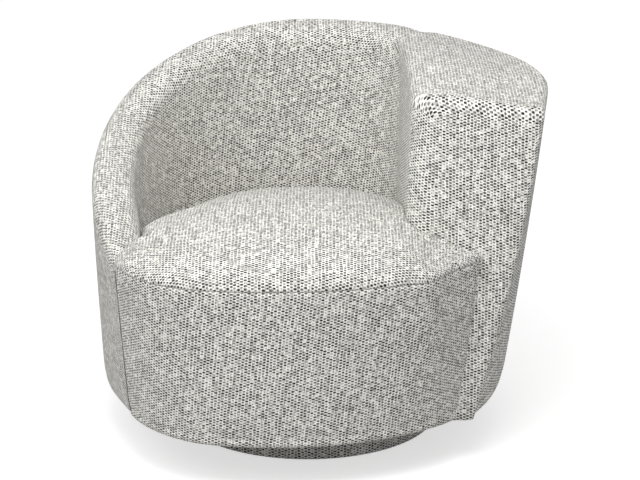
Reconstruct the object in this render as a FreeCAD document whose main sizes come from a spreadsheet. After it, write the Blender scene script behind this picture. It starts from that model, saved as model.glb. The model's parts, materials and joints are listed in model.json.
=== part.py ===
import FreeCAD, Part
import math
import os
import re

# Swivel rocker: an upholstered barrel chair on a low round plinth, with one wall that wraps round the seat.
# Millimetres. The origin is on the floor on the swivel axis, +Z is up, the sitter faces -Y and +X is the
# side of the upright wing. A bearing is an angle round the swivel axis in degrees: 0 is the front, 90 the
# low arm's side, 180 the back and 270 the wing's side.

os.makedirs("parts", exist_ok=True)
doc = FreeCAD.newDocument("swivel_rocker")

SIZES = [
    # Body heights above the floor
    ("hem_height", 80),
    ("seam_height", 365),
    ("ridge_height", 672),
    ("wing_side_height", 662),
    ("wing_front_height", 648),
    ("wing_top_drop", 22),
    # Outer face of the wall: a circle that grows and shifts with height
    ("wrap_hem_radius", 368),
    ("wrap_top_radius", 411),
    ("wrap_round_height", 620),
    ("wrap_bow", 0.35),
    ("wrap_hem_shift", -8),
    ("wrap_top_shift", 18),
    ("nose_start_bearing", 70),
    ("nose_bearing", 54),
    ("nose_bulge_hem", 12),
    ("nose_bulge_seam", 20),
    ("wing_straight_from", 60),
    ("wing_straight_hem", 8),
    ("wing_straight_top", 21),
    ("wing_straight_span", 120),
    # Inner face of the wall
    ("seat_wall_radius", 310),
    ("valley_radius", 100),
    ("wing_inner_offset", 170),
    ("wall_lean", 12),
    ("arm_taper_bearing", 78),
    ("nose_thickness", 28),
    ("arm_rise_bearing", 58),
    ("inner_edge_radius", 42),
    ("outer_edge_radius", 34),
    ("wing_inner_edge_radius", 24),
    ("wing_outer_edge_radius", 12),
    # Wing front
    ("wing_back_plane", 138),
    ("wing_face_top", 180),
    ("wing_face_hem", 245),
    ("wing_corner_radius", 50),
    ("wing_outer_corner_radius", 12),
    ("pad_crown_depth", 34),
    ("pad_crown_inset", 12),
    ("crease_hem", 265),
    ("crease_seam", 306),
    # Front border of the seat body
    ("front_hem_radius", 459),
    ("front_hem_centre", -54),
    ("front_hem_depth", 378),
    ("front_seam_radius", 671),
    ("front_seam_centre", -59),
    ("front_seam_depth", 393),
    ("front_left_offset", 185),
    ("front_right_offset", 178),
    ("front_corner_offset", 237),
    ("front_corner_back_hem", 273),
    ("front_corner_back_seam", 298),
    ("left_corner_sagitta_hem", 17),
    ("left_corner_sagitta_seam", 27),
    ("right_corner_sagitta", 12),
    # Layers of the upholstery
    ("cover_thickness", 2.5),
    ("wadding_thickness", 6),
    ("panel_thickness", 5),
    ("wall_foam_thickness", 36),
    ("front_foam_thickness", 26),
    ("layer_gap", 0.4),
    ("frame_gap", 2),
    # Seat cushion
    ("seat_crown", 82),
    ("crown_sideways", -20),
    ("crown_forward", 70),
    ("seat_slope_radius", 800),
    ("seat_slope_forward", 150),
    ("cushion_gap", 1),
    ("cushion_foam_gap", 2),
    ("seat_foam_bottom", 278),
    # Wooden seat frame
    ("base_board_bottom", 92),
    ("frame_board_thickness", 18),
    ("seat_ring_bottom", 250),
    ("seat_ring_opening", 235),
    ("base_opening", 150),
    ("lower_post_radius", 300),
    ("lower_post_depth", 22),
    ("post_width", 50),
    ("back_post_depth", 14),
    ("rail_thickness", 18),
    ("post_clearance", 18),
    ("wing_board_thickness", 17),
    ("mechanism_rail_offset", 80),
    ("mechanism_rail_width", 36),
    ("mechanism_rail_reach", 322),
    ("dust_cover_thickness", 2),
    ("dust_cover_opening", 135),
    # Seat springs
    ("seat_spring_wire", 2),
    ("seat_spring_spacing", 84),
    ("seat_spring_width", 44),
    ("seat_spring_pitch", 30),
    ("spring_clip_length", 24),
    ("spring_clip_width", 30),
    ("felt_thickness", 3),
    # Swivel bearing
    ("plate_thickness", 3),
    ("lower_plate_side", 200),
    ("upper_plate_radius", 95),
    ("ball_radius", 4),
    ("ball_circle_radius", 66),
    ("bearing_clearance", 0.05),
    ("cage_width", 14),
    ("cage_thickness", 3),
    ("centre_pin_radius", 10),
    ("centre_pin_head_radius", 17),
    ("running_clearance", 0.06),
    # Rocker
    ("pivot_height", 150),
    ("pivot_radius", 5),
    ("bush_wall", 2.5),
    ("bush_flange_radius", 11),
    ("cheek_offset", 82),
    ("cheek_half_width", 30),
    ("cheek_gap", 2),
    ("bracket_length", 140),
    ("upper_bracket_length", 150),
    ("upper_plate_height", 190),
    ("upper_bracket_width", 204),
    ("bolt_head_radius", 9),
    ("bolt_head_height", 5),
    ("rocker_spring_wire", 2.2),
    ("rocker_spring_radius", 14),
    ("rocker_spring_turns", 6),
    ("rocker_spring_side", 36),
    ("rocker_spring_reach", 52),
    # Plinth
    ("plinth_radius", 240),
    ("plinth_height", 52),
    ("plinth_board_thickness", 15),
    ("plinth_ring_width", 50),
    ("plinth_hoop_thickness", 4),
    ("plinth_cover_lift", 3),
    ("glide_radius", 12),
    ("glide_height", 4),
    ("glide_circle_radius", 205),
    ("plinth_block_width", 40),
    ("plinth_block_depth", 26),
    # Fasteners
    ("screw_radius", 2.2),
    ("screw_head_radius", 4.5),
    ("screw_head_height", 3),
    ("rivet_radius", 4),
    ("rivet_head_radius", 7),
    ("rivet_head_height", 2.4),
    ("rivet_spread", 60),
    ("plate_bolt_spread", 80),
    ("plate_bolt_radius", 4),
]

sheet = doc.addObject("Spreadsheet::Sheet", "sizes")
for row, (name, value) in enumerate(SIZES, start=1):
    sheet.set(f"A{row}", name)
    sheet.set(f"B{row}", str(value))
    sheet.setAlias(f"B{row}", name)
doc.recompute()
s = {name: float(sheet.get(name)) for name, value in SIZES}
pieces = []


def bound(text):
    """The expression with every size's name pointing at the sheet."""
    return re.sub(r"[a-z_]+", lambda word: "sizes." + word[0] if word[0] in s else word[0], text)


def bind(thing, **expressions):
    for where, text in expressions.items():
        thing.setExpression(where, bound(text))


def place(thing, x="0", y="0", z="0", turn=None):
    bind(thing, **{".Placement.Base.x": x, ".Placement.Base.y": y, ".Placement.Base.z": z})
    if turn is not None:
        thing.Placement = FreeCAD.Placement(thing.Placement.Base, FreeCAD.Rotation(FreeCAD.Vector(0, 0, 1), 1))
        bind(thing, **{".Placement.Rotation.Angle": turn})
    return thing


def cylinder(name, radius, height, x="0", y="0", z="0"):
    thing = doc.addObject("Part::Cylinder", name)
    bind(thing, Radius=radius, Height=height)
    return place(thing, x, y, z)


def cylinder_along_x(name, radius, height, x, z):
    thing = doc.addObject("Part::Cylinder", name)
    thing.Placement = FreeCAD.Placement(FreeCAD.Vector(), FreeCAD.Rotation(FreeCAD.Vector(0, 1, 0), 90))
    bind(thing, Radius=radius, Height=height)
    return place(thing, x, "0", z)


def box(name, length, width, height, x="0", y="0", z="0"):
    thing = doc.addObject("Part::Box", name)
    bind(thing, Length=length, Width=width, Height=height)
    return place(thing, x, y, z)


def upright_board(name, bearing, radius, depth, width, height, z):
    """A board standing at a bearing, its inner face at a radius and its broad side round the circle."""
    angle = 270 - bearing
    thing = doc.addObject("Part::Box", name)
    bind(thing, Length=depth, Width=width, Height=height)
    x = f"({radius}) * cos({angle}) + ({width}) / 2 * sin({angle})"
    y = f"({radius}) * sin({angle}) - ({width}) / 2 * cos({angle})"
    return place(thing, x, y, z, turn=f"{angle}")


def cut(name, base, tool):
    thing = doc.addObject("Part::Cut", name)
    thing.Base = base
    thing.Tool = tool
    return thing


def fused(name, things):
    thing = doc.addObject("Part::MultiFuse", name)
    thing.Shapes = things
    return thing


def group(name, things):
    thing = doc.addObject("Part::Compound", name)
    thing.Links = things
    return thing


def shaped(name, shape):
    thing = doc.addObject("Part::Feature", name)
    thing.Shape = shape
    return thing


def keep(thing, name):
    thing.Label = name
    pieces.append(thing)
    return thing


def clamp(value, low=0.0, high=1.0):
    return min(high, max(low, value))


def mix(start, end, share):
    return start + (end - start) * share


def smooth(share):
    share = clamp(share)
    return share * share * (3 - 2 * share)


def on_circle(centre, radius, point, direction):
    """How far along a direction a ray from a point meets a circle."""
    dx = centre[0] - point[0]
    dy = centre[1] - point[1]
    along = dx * direction[0] + dy * direction[1]
    return along + math.sqrt(radius**2 - dx**2 - dy**2 + along**2)


# The wall is built from upright sections. Each stands on a line that starts at a point and runs outward:
# round the back the lines are spokes of the swivel axis, and along the wing they run straight across.


class Section:
    def __init__(self, bearing=None, forward=0.0):
        self.forward = forward
        self.bearing = 270.0 if bearing is None else bearing
        angle = math.radians(self.bearing)
        self.out = (-math.sin(angle), -math.cos(angle))
        self.start = (0.0, -forward)

    def point(self, distance, height):
        x = self.start[0] + self.out[0] * distance
        y = self.start[1] + self.out[1] * distance
        return FreeCAD.Vector(x, y, height)

    def outer(self, height):
        """Distance of the wall's outer face."""
        rise = (height - s["hem_height"]) / (s["wrap_round_height"] - s["hem_height"])
        growth = (1 + s["wrap_bow"]) * rise - s["wrap_bow"] * rise**2
        radius = mix(s["wrap_hem_radius"], s["wrap_top_radius"], growth)
        centre = (mix(s["wrap_hem_shift"], s["wrap_top_shift"], rise), 0)
        reach = on_circle(centre, radius, self.start, self.out)
        seam_share = clamp((height - s["hem_height"]) / (s["seam_height"] - s["hem_height"]))
        nose = clamp((s["nose_start_bearing"] - self.bearing) / (s["nose_start_bearing"] - s["nose_bearing"]))
        reach += mix(s["nose_bulge_hem"], s["nose_bulge_seam"], seam_share) * nose**2
        run = max(0.0, (self.forward - s["wing_straight_from"]) / s["wing_straight_span"])
        return reach + mix(s["wing_straight_hem"], s["wing_straight_top"], clamp(rise)) * run**2

    def inner(self, height):
        """Distance of the wall's inner face, which leans back a little above the seat."""
        lean = (height - s["seam_height"]) / (s["ridge_height"] - s["seam_height"])
        return self.inner_at_seat() + s["wall_lean"] * max(0.0, lean)

    def inner_at_seat(self):
        side = s["wing_inner_offset"]
        round_radius = s["valley_radius"]
        centre_x = side - round_radius
        centre_y = math.sqrt((s["seat_wall_radius"] - round_radius) ** 2 - centre_x**2)
        first = 180 + math.degrees(math.atan2(centre_x, centre_y))
        last = 180 + math.degrees(math.atan2(side, centre_y))
        if self.forward > 0 or self.bearing >= last:
            return side / self.out[0]
        if self.bearing > first:
            return on_circle((centre_x, centre_y), round_radius, self.start, self.out)
        taper = clamp((s["arm_taper_bearing"] - self.bearing) / (s["arm_taper_bearing"] - s["nose_bearing"]))
        nose_inner = self.outer(s["seam_height"]) - s["nose_thickness"]
        return mix(s["seat_wall_radius"], nose_inner, taper**2)

    def ridge(self):
        """Height of the wall's top along its inner side."""
        if self.forward > 0:
            share = self.forward / s["wing_back_plane"]
            return mix(s["wing_side_height"], s["wing_front_height"], share)
        if self.bearing > 180:
            return mix(s["ridge_height"], s["wing_side_height"], (self.bearing - 180) / 90)
        share = clamp((self.bearing - s["arm_rise_bearing"]) / (180 - s["arm_rise_bearing"]))
        return mix(s["seam_height"], s["ridge_height"], math.sin(math.pi / 2 * share))

    def wing_share(self):
        return smooth((self.bearing - 190) / 60)

    def edges(self):
        """Radii of the inner and outer top edges."""
        inner = mix(s["inner_edge_radius"], s["wing_inner_edge_radius"], self.wing_share())
        outer = mix(s["outer_edge_radius"], s["wing_outer_edge_radius"], self.wing_share())
        room = 0.9 * (self.outer(self.ridge()) - self.inner(self.ridge()))
        fit = min(1.0, room / (inner + outer))
        return inner * fit, outer * fit

    def outer_edge_height(self):
        """Height where the outer face ends and the rolled top begins."""
        return self.ridge() - s["wing_top_drop"] * self.wing_share() - self.edges()[1]

    def foam_back(self):
        """Distance of the foam's upright back, which the inside panel carries."""
        room = self.outer(s["seat_foam_bottom"]) - self.inner_at_seat()
        thickness = min(s["wall_foam_thickness"], room - outer_layers() - s["frame_gap"])
        return self.inner_at_seat() + thickness


def outer_layers():
    return s["cover_thickness"] + s["wadding_thickness"] + s["layer_gap"]


# Spokes lie close together where the low arm thins, and through the valley beside the wing.
SPOKES = [58, 62, 66, 70, 74, 78, 84, 92, 104, 116, 128, 141, 154, 167, 180, 190, 199, 204, 209, 214, 220, 226,
          235, 246, 258, 270]
WING_STEPS = [30, 60, 90, 114]
LEAST_STEP = 4


def sections(first, last_forward):
    """Sections from a bearing on the low arm's side to a distance forward along the wing."""
    chosen = [Section(first)]
    chosen += [Section(bearing) for bearing in SPOKES if bearing >= first + LEAST_STEP]
    chosen += [Section(forward=step) for step in WING_STEPS if step < last_forward - LEAST_STEP]
    return chosen + [Section(forward=last_forward)]


def line(a, b):
    return Part.LineSegment(a, b).toShape()


def arc(a, b, c):
    return Part.Arc(a, b, c).toShape()


def arcs_through(points):
    """Arcs end to end, each through the next two points."""
    return [arc(*points[number:number + 3]) for number in range(0, len(points) - 2, 2)]


def loft(wires):
    return Part.makeLoft(wires, True, False)


def top_path(section, bottom, inset):
    """Edges of the rolled top at an inset: up the inner face, over the top and down to the outer face."""
    inner_edge, outer_edge = section.edges()
    crest = section.ridge()
    drop = s["wing_top_drop"] * section.wing_share()
    inner_end = crest - inner_edge
    outer_end = section.outer_edge_height()
    bend = 1 - math.sqrt(0.5)
    near = section.inner(inner_end)
    far = section.outer(outer_end)
    inner_edge -= inset
    outer_edge -= inset
    top = crest - inset
    outer_top = crest - drop - inset
    foot = section.point(section.inner(bottom) + inset, bottom)
    a = section.point(near + inset, inner_end)
    b = section.point(near + inset + bend * inner_edge, top - bend * inner_edge)
    c = section.point(near + inset + inner_edge, top)
    d = section.point(far - inset - outer_edge, outer_top)
    e = section.point(far - inset - bend * outer_edge, outer_top - bend * outer_edge)
    f = section.point(far - inset, outer_end)
    return [line(foot, a), arc(a, b, c), line(c, d), arc(d, e, f)], foot, f


def reversed_edges(edges):
    return [edge.reversed() for edge in reversed(edges)]


def inside_cover_wire(section):
    bottom = s["seat_foam_bottom"]
    outside, foot, lip = top_path(section, bottom, 0)
    inside, inner_foot, inner_lip = top_path(section, bottom, s["cover_thickness"])
    edges = outside + [line(lip, inner_lip)] + reversed_edges(inside) + [line(inner_foot, foot)]
    return Part.Wire(edges)


def wall_foam_wire(section):
    bottom = s["seat_foam_bottom"]
    shelf = section.outer_edge_height()
    path, foot, lip = top_path(section, bottom, s["cover_thickness"] + 2 * s["layer_gap"])
    back_top = section.point(section.foam_back(), shelf)
    back_foot = section.point(section.foam_back(), bottom)
    return Part.Wire(path + [line(lip, back_top), line(back_top, back_foot), line(back_foot, foot)])


def outer_band_wire(section, bottom, top, near, far):
    """A band that follows the outer face between two insets."""
    middle = (bottom + top) / 2
    a, b, c = (section.point(section.outer(z) - near, z) for z in (bottom, middle, top))
    d, e, f = (section.point(section.outer(z) - far, z) for z in (top, middle, bottom))
    return Part.Wire([arc(a, b, c), line(c, d), arc(d, e, f), line(f, a)])


def rectangle_wire(corners):
    return Part.Wire([line(a, b) for a, b in zip(corners, corners[1:] + corners[:1])])


def rail_underside(section):
    return section.outer_edge_height() - s["frame_gap"] - s["rail_thickness"]


def make_wall():
    gap = s["layer_gap"]
    back_plane = s["wing_back_plane"]
    whole = sections(s["nose_bearing"], back_plane)
    keep(shaped("InsideCover", loft([inside_cover_wire(at) for at in whole])), "inside_cover")
    keep(shaped("WallFoam", loft([wall_foam_wire(at) for at in whole])), "wall_foam")

    cover = s["cover_thickness"]
    hem = s["hem_height"]
    lip = 2 * gap
    bands = [outer_band_wire(at, hem, at.outer_edge_height() - lip, 0, cover) for at in whole]
    keep(shaped("OutsideCover", loft(bands)), "outside_cover")
    far = outer_layers()
    bands = [outer_band_wire(at, hem + 4, at.outer_edge_height() - lip, cover + gap, far) for at in whole]
    keep(shaped("OutsideWadding", loft(bands)), "outside_wadding")

    framed = sections(s["arm_taper_bearing"] + 2, back_plane - gap)
    near = far + gap
    far = near + s["panel_thickness"]
    bands = [outer_band_wire(at, hem + 10, at.outer_edge_height() - 6, near, far) for at in framed]
    keep(shaped("OutsidePanel", loft(bands)), "outside_panel")

    low = s["seat_ring_bottom"] + s["frame_board_thickness"] + gap
    panels = []
    rails = []
    for at in framed:
        top = rail_underside(at) - s["frame_gap"]
        face = at.foam_back() + s["frame_gap"]
        back = face + s["panel_thickness"]
        panels.append(rectangle_wire([
            at.point(face, low), at.point(face, top), at.point(back, top), at.point(back, low)]))
    keep(shaped("InsidePanel", loft(panels)), "inside_panel")
    for at in sections(s["arm_taper_bearing"] + 4, back_plane - s["wing_board_thickness"] - 2 * gap):
        under = rail_underside(at)
        top = under + s["rail_thickness"]
        face = at.foam_back() + s["frame_gap"]
        back = at.outer(under) - far - s["frame_gap"]
        rails.append(rectangle_wire([
            at.point(face, under), at.point(face, top), at.point(back, top), at.point(back, under)]))
    keep(shaped("TopRail", loft(rails)), "top_rail")


# The front border follows an outline that flares a little from the hem up to the seam. It starts a small step
# of bearing in front of the wall's end.

NOSE_STEP = 0.3


def wing_face(height):
    """How far forward the wing's front face stands at a height."""
    share = (height - s["hem_height"]) / (s["wing_front_height"] - s["hem_height"])
    return mix(s["wing_face_hem"], s["wing_face_top"], share)


def crease(height):
    share = (height - s["hem_height"]) / (s["seam_height"] - s["hem_height"])
    return mix(s["crease_hem"], s["crease_seam"], share)


def front_curve(share, x, inset):
    """Point of the border's long front arc at a sideways place."""
    radius = mix(s["front_hem_radius"], s["front_seam_radius"], share)
    centre_x = mix(s["front_hem_centre"], s["front_seam_centre"], share)
    centre_y = radius - mix(s["front_hem_depth"], s["front_seam_depth"], share)
    y = centre_y - math.sqrt(radius**2 - (x - centre_x) ** 2)
    away = ((x - centre_x) / radius, (y - centre_y) / radius)
    return x - away[0] * inset, y - away[1] * inset


def bulged(a, b, sagitta):
    """The middle of an arc from a to b that stands out from the swivel axis."""
    middle = ((a[0] + b[0]) / 2, (a[1] + b[1]) / 2)
    run = (b[0] - a[0], b[1] - a[1])
    length = math.hypot(*run)
    out = (run[1] / length, -run[0] / length)
    if out[0] * middle[0] + out[1] * middle[1] < 0:
        out = (-out[0], -out[1])
    return middle[0] + out[0] * sagitta, middle[1] + out[1] * sagitta


def front_points(height, inset, face_gap=0.0):
    """Points of the front outline: nose, corner, three on the front arc, two on the right corner, crease."""
    share = (height - s["hem_height"]) / (s["seam_height"] - s["hem_height"])
    start = Section(s["nose_bearing"] - NOSE_STEP)
    nose = start.point(start.outer(height) - inset, height)
    nose = (nose.x, nose.y)
    left = front_curve(share, -s["front_left_offset"], inset)
    middle = front_curve(share, 0.0, inset)
    right = front_curve(share, s["front_right_offset"], inset)
    sagitta = mix(s["left_corner_sagitta_hem"], s["left_corner_sagitta_seam"], share)
    left_middle = bulged(nose, left, sagitta)
    back = mix(s["front_corner_back_hem"], s["front_corner_back_seam"], share)
    diagonal = math.sqrt(0.5) * inset
    corner = (s["front_corner_offset"] - diagonal, -back + diagonal)
    right_middle = bulged(right, corner, mix(1.5, s["right_corner_sagitta"], share))
    end = (crease(height) - 1.25 * inset - face_gap, -wing_face(height) - face_gap)
    flat = (nose, left_middle, left, middle, right, right_middle, corner, end)
    return [FreeCAD.Vector(x, y, height) for x, y in flat]


def front_edges(points):
    nose, left_middle, left, middle, right, right_middle, corner, end = points
    bends = [arc(nose, left_middle, left), arc(left, middle, right), arc(right, right_middle, corner)]
    return bends + [line(corner, end)]


def front_band(bottom, top, near, far):
    wires = []
    for height in (bottom, (bottom + top) / 2, top):
        outside = front_points(height, near, s["layer_gap"])
        inside = front_points(height, far, s["layer_gap"])
        edges = front_edges(outside) + [line(outside[-1], inside[-1])]
        edges += reversed_edges(front_edges(inside)) + [line(inside[0], outside[0])]
        wires.append(Part.Wire(edges))
    return loft(wires)


def make_front():
    gap = s["layer_gap"]
    hem = s["hem_height"]
    board_top = s["seat_ring_bottom"] + s["frame_board_thickness"]
    near = 0.0
    far = s["cover_thickness"]
    keep(shaped("FrontCover", front_band(hem, s["seam_height"], near, far)), "front_cover")
    near = far + gap
    far = near + s["front_foam_thickness"]
    keep(shaped("FrontFoam", front_band(hem + 4, s["seat_foam_bottom"] - gap, near, far)), "front_foam")
    near = far + gap
    far = near + s["panel_thickness"]
    keep(shaped("FrontPanel", front_band(hem + 10, board_top, near, far)), "front_panel")


def body_wire(height, wrap_inset, front_inset):
    """Closed outline of the whole body at a height, for the boards and the dust cover."""
    corner_y = s["wing_back_plane"] - s["frame_gap"]
    side = Section(forward=corner_y)
    right = side.point(side.outer(height) - wrap_inset, height)
    turn = 360 - math.degrees(math.atan2(right.x, -right.y))
    notch = FreeCAD.Vector(crease(height) - 3 * s["frame_gap"], -corner_y, height)

    def at(bearing):
        spoke = Section(bearing)
        return spoke.point(spoke.outer(height) - wrap_inset, height)

    front = front_points(height, front_inset)
    first = at(285)
    edges = [arc(right, at((turn + 285) / 2), first), arc(first, at(245), at(205)), arc(at(205), at(165), at(125))]
    edges += [arc(at(125), at(98), at(72)), arc(at(72), at(64), at(57)), line(at(57), front[0])]
    edges += front_edges(front) + [line(front[-1], notch), line(notch, right)]
    return Part.Wire(edges)


def board(height, thickness, wrap_inset, front_inset, opening):
    plate = Part.Face(body_wire(height, wrap_inset, front_inset)).extrude(FreeCAD.Vector(0, 0, thickness))
    hole = Part.makeCylinder(opening, 3 * thickness, FreeCAD.Vector(0, 0, height - thickness))
    return plate.cut(hole)


# The wing front is a pad with an upright round inner corner and a flat face.


def wing_outline(height, inner_x, back_y, inset, drop):
    """Closed outline of the wing's front pad at a height; the top ones dip towards the outer side."""
    face_y = -wing_face(height) + inset
    side = Section(forward=-face_y)
    outer_x = side.outer(height) - inset
    inner_x += inset
    width = outer_x - inner_x
    inner_radius = min(s["wing_corner_radius"], 0.45 * width, back_y - face_y - 6) - inset
    outer_radius = min(s["wing_outer_corner_radius"], 0.3 * width)
    bend = 1 - math.sqrt(0.5)

    def at(x, y):
        return FreeCAD.Vector(x, y, height - drop * (x - inner_x) / width)

    back = Section(forward=-back_y)
    a = at(back.outer(height) - inset, back_y)
    b = at(outer_x, face_y + outer_radius)
    c = at(outer_x - bend * outer_radius, face_y + bend * outer_radius)
    d = at(outer_x - outer_radius, face_y)
    e = at(inner_x + inner_radius, face_y)
    f = at(inner_x + bend * inner_radius, face_y + bend * inner_radius)
    g = at(inner_x, face_y + inner_radius)
    k = at(inner_x, back_y)
    return Part.Wire([line(a, b), arc(b, c, d), line(d, e), arc(e, f, g), line(g, k), line(k, a)])


# The pad's rounded top: depth below the top, inset and dip at the outer side, as shares of each one's whole.
PAD_CROWN = [(1.0, 0.0, 0.36), (0.53, 0.125, 0.73), (0.24, 0.42, 0.91), (0.06, 1.0, 1.0)]


def make_wing_front():
    gap = s["layer_gap"]
    back_y = -s["wing_back_plane"] - gap
    top = s["wing_front_height"]
    foot = s["seat_foam_bottom"]
    hem = s["hem_height"]
    depth = s["pad_crown_depth"]
    dip = s["wing_top_drop"]
    side = Section(forward=s["wing_back_plane"])

    def above(height, inset=0.0, drop=0.0):
        return wing_outline(height, side.inner(height), back_y, inset, drop)

    shoulder = top - depth
    upper = loft([above(mix(foot, shoulder, share)) for share in (0, 0.33, 0.67)]
                 + [above(shoulder, 0, PAD_CROWN[0][2] * dip)])
    crown_wires = []
    for low, inset, drop in PAD_CROWN:
        crown_wires.append(above(top - low * depth, inset * s["pad_crown_inset"], drop * dip))
    below = [wing_outline(z, crease(z) + 2 * gap, back_y, 0, 0) for z in (hem, (hem + foot) / 2, foot)]
    pad = upper.fuse(loft(crown_wires)).fuse(loft(below))
    keep(shaped("WingFrontPad", pad), "wing_front_pad")

    low = s["seat_ring_bottom"] + s["frame_board_thickness"]
    high = side.outer_edge_height() - s["frame_gap"]
    near = outer_layers() + s["panel_thickness"] + gap + s["frame_gap"]
    inner_x = side.foam_back() + s["panel_thickness"] + 2 * s["frame_gap"]
    outer_x = side.outer(low) - near
    corners = [FreeCAD.Vector(x, gap - s["wing_back_plane"], z)
               for x, z in ((inner_x, low), (inner_x, high), (outer_x, high), (outer_x, low))]
    face = Part.Face(rectangle_wire(corners))
    board_shape = face.extrude(FreeCAD.Vector(0, s["wing_board_thickness"], 0))
    keep(shaped("WingFrontBoard", board_shape), "wing_front_board")


# The seat cushion fills the bucket, and its top is a crown made of shrinking outlines.


def seat_wire(height, front_inset, wall_gap, round_wing=True):
    """The cushion's outline: round the wing's corner, or straight past it where the wing is cut out later."""
    seam = s["seam_height"]
    front = front_points(min(height, seam), front_inset, wall_gap)
    for point in front:
        point.z = height
    side = s["wing_inner_offset"] - wall_gap
    corner = s["wing_corner_radius"]
    face_y = front[-1].y
    bend = 1 - math.sqrt(0.5)
    wing_side = Section(forward=s["wing_back_plane"]).inner(seam) - wall_gap
    e = FreeCAD.Vector(wing_side + corner, face_y, height)
    f = FreeCAD.Vector(wing_side + bend * corner, face_y + bend * corner, height)
    g = FreeCAD.Vector(wing_side, face_y + corner, height)
    inner_radius = s["valley_radius"]
    centre_x = s["wing_inner_offset"] - inner_radius
    centre_y = math.sqrt((s["seat_wall_radius"] - inner_radius) ** 2 - centre_x**2)
    k = FreeCAD.Vector(side, centre_y, height)

    def at(bearing):
        spoke = Section(bearing)
        return spoke.point(spoke.inner_at_seat() - wall_gap, height)

    first = 180 + math.degrees(math.atan2(centre_x, centre_y))
    taper = s["arm_taper_bearing"]
    nose = s["nose_bearing"] - NOSE_STEP
    edges = front_edges(front)
    edges += [line(front[-1], e), arc(e, f, g), line(g, k)] if round_wing else [line(front[-1], k)]
    edges += [arc(k, at(first + 9), at(first))]
    edges += arcs_through([at(mix(first, taper, share / 4)) for share in range(5)])
    edges += arcs_through([at(mix(taper, nose, share / 8)) for share in range(9)])
    edges += [line(at(nose), front[0])]
    return Part.Wire(edges)


CROWN_RINGS = [(1.0, 0.0), (0.975, 0.22), (0.90, 0.46), (0.76, 0.70), (0.56, 0.87), (0.34, 0.96), (0.12, 1.0)]


def crown(height, inset):
    """The cushion's domed top at an inset from its cover's outer face."""
    wires = []
    middle = FreeCAD.Vector(s["crown_sideways"], -s["crown_forward"], height)
    base = seat_wire(height, inset, inset + s["cushion_gap"], round_wing=False)
    for scale, rise in CROWN_RINGS:
        matrix = FreeCAD.Matrix()
        matrix.move(-middle)
        matrix.scale(scale, scale, 1)
        matrix.move(middle)
        matrix.move(FreeCAD.Vector(0, 0, (s["seat_crown"] - inset) * rise))
        wires.append(base.transformGeometry(matrix).Wires[0])
    return loft(wires)


def wall_space(bottom, top, gap):
    """The room that the wall and the wing's front take, a gap larger than they are."""
    nose = s["nose_bearing"]
    back_plane = s["wing_back_plane"]
    wires = []
    for at in sections(nose, back_plane):
        far = at.outer(s["seam_height"])
        wires.append(rectangle_wire([
            at.point(at.inner(bottom) - gap, bottom), at.point(at.inner(top) - gap, top),
            at.point(far, top), at.point(far, bottom)]))
    side = Section(forward=back_plane)
    back_y = LEAST_STEP - back_plane
    heights = (bottom, (bottom + top) / 2, top)
    return [loft(wires), loft([wing_outline(z, side.inner(z), back_y, -gap, 0) for z in heights])]


def seat_slope(inset):
    """A drum across the chair; its top is the line of the seat from front to back."""
    reach = s["wrap_top_radius"] + s["wrap_top_shift"]
    middle = s["seam_height"] + s["seat_crown"] - s["seat_slope_radius"]
    start = FreeCAD.Vector(-reach, -s["seat_slope_forward"], middle)
    return Part.makeCylinder(s["seat_slope_radius"] - inset, 2 * reach, start, FreeCAD.Vector(1, 0, 0))


def make_cushion():
    gap = s["layer_gap"]
    seam = s["seam_height"]
    cover = s["cover_thickness"]
    bottom = s["seat_foam_bottom"]
    inset = cover + s["cushion_foam_gap"]
    space = wall_space(bottom - 1, seam + s["seat_crown"] + LEAST_STEP, s["cushion_gap"])

    def block(top):
        return loft([seat_wire(z, inset, s["cushion_gap"] + cover) for z in (bottom, top)])

    low = block(seam + 2 * gap)
    outside = crown(seam + gap, 0).fuse(low).common(seat_slope(0))
    inside = crown(seam + gap - 0.01, cover).fuse(low).common(seat_slope(cover))
    keep(shaped("SeatCover", outside.cut(inside).cut(space)), "seat_cover")
    foam = block(seam).fuse(crown(seam, inset)).common(seat_slope(inset))
    keep(shaped("SeatFoam", foam.cut(space)), "seat_foam")


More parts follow.
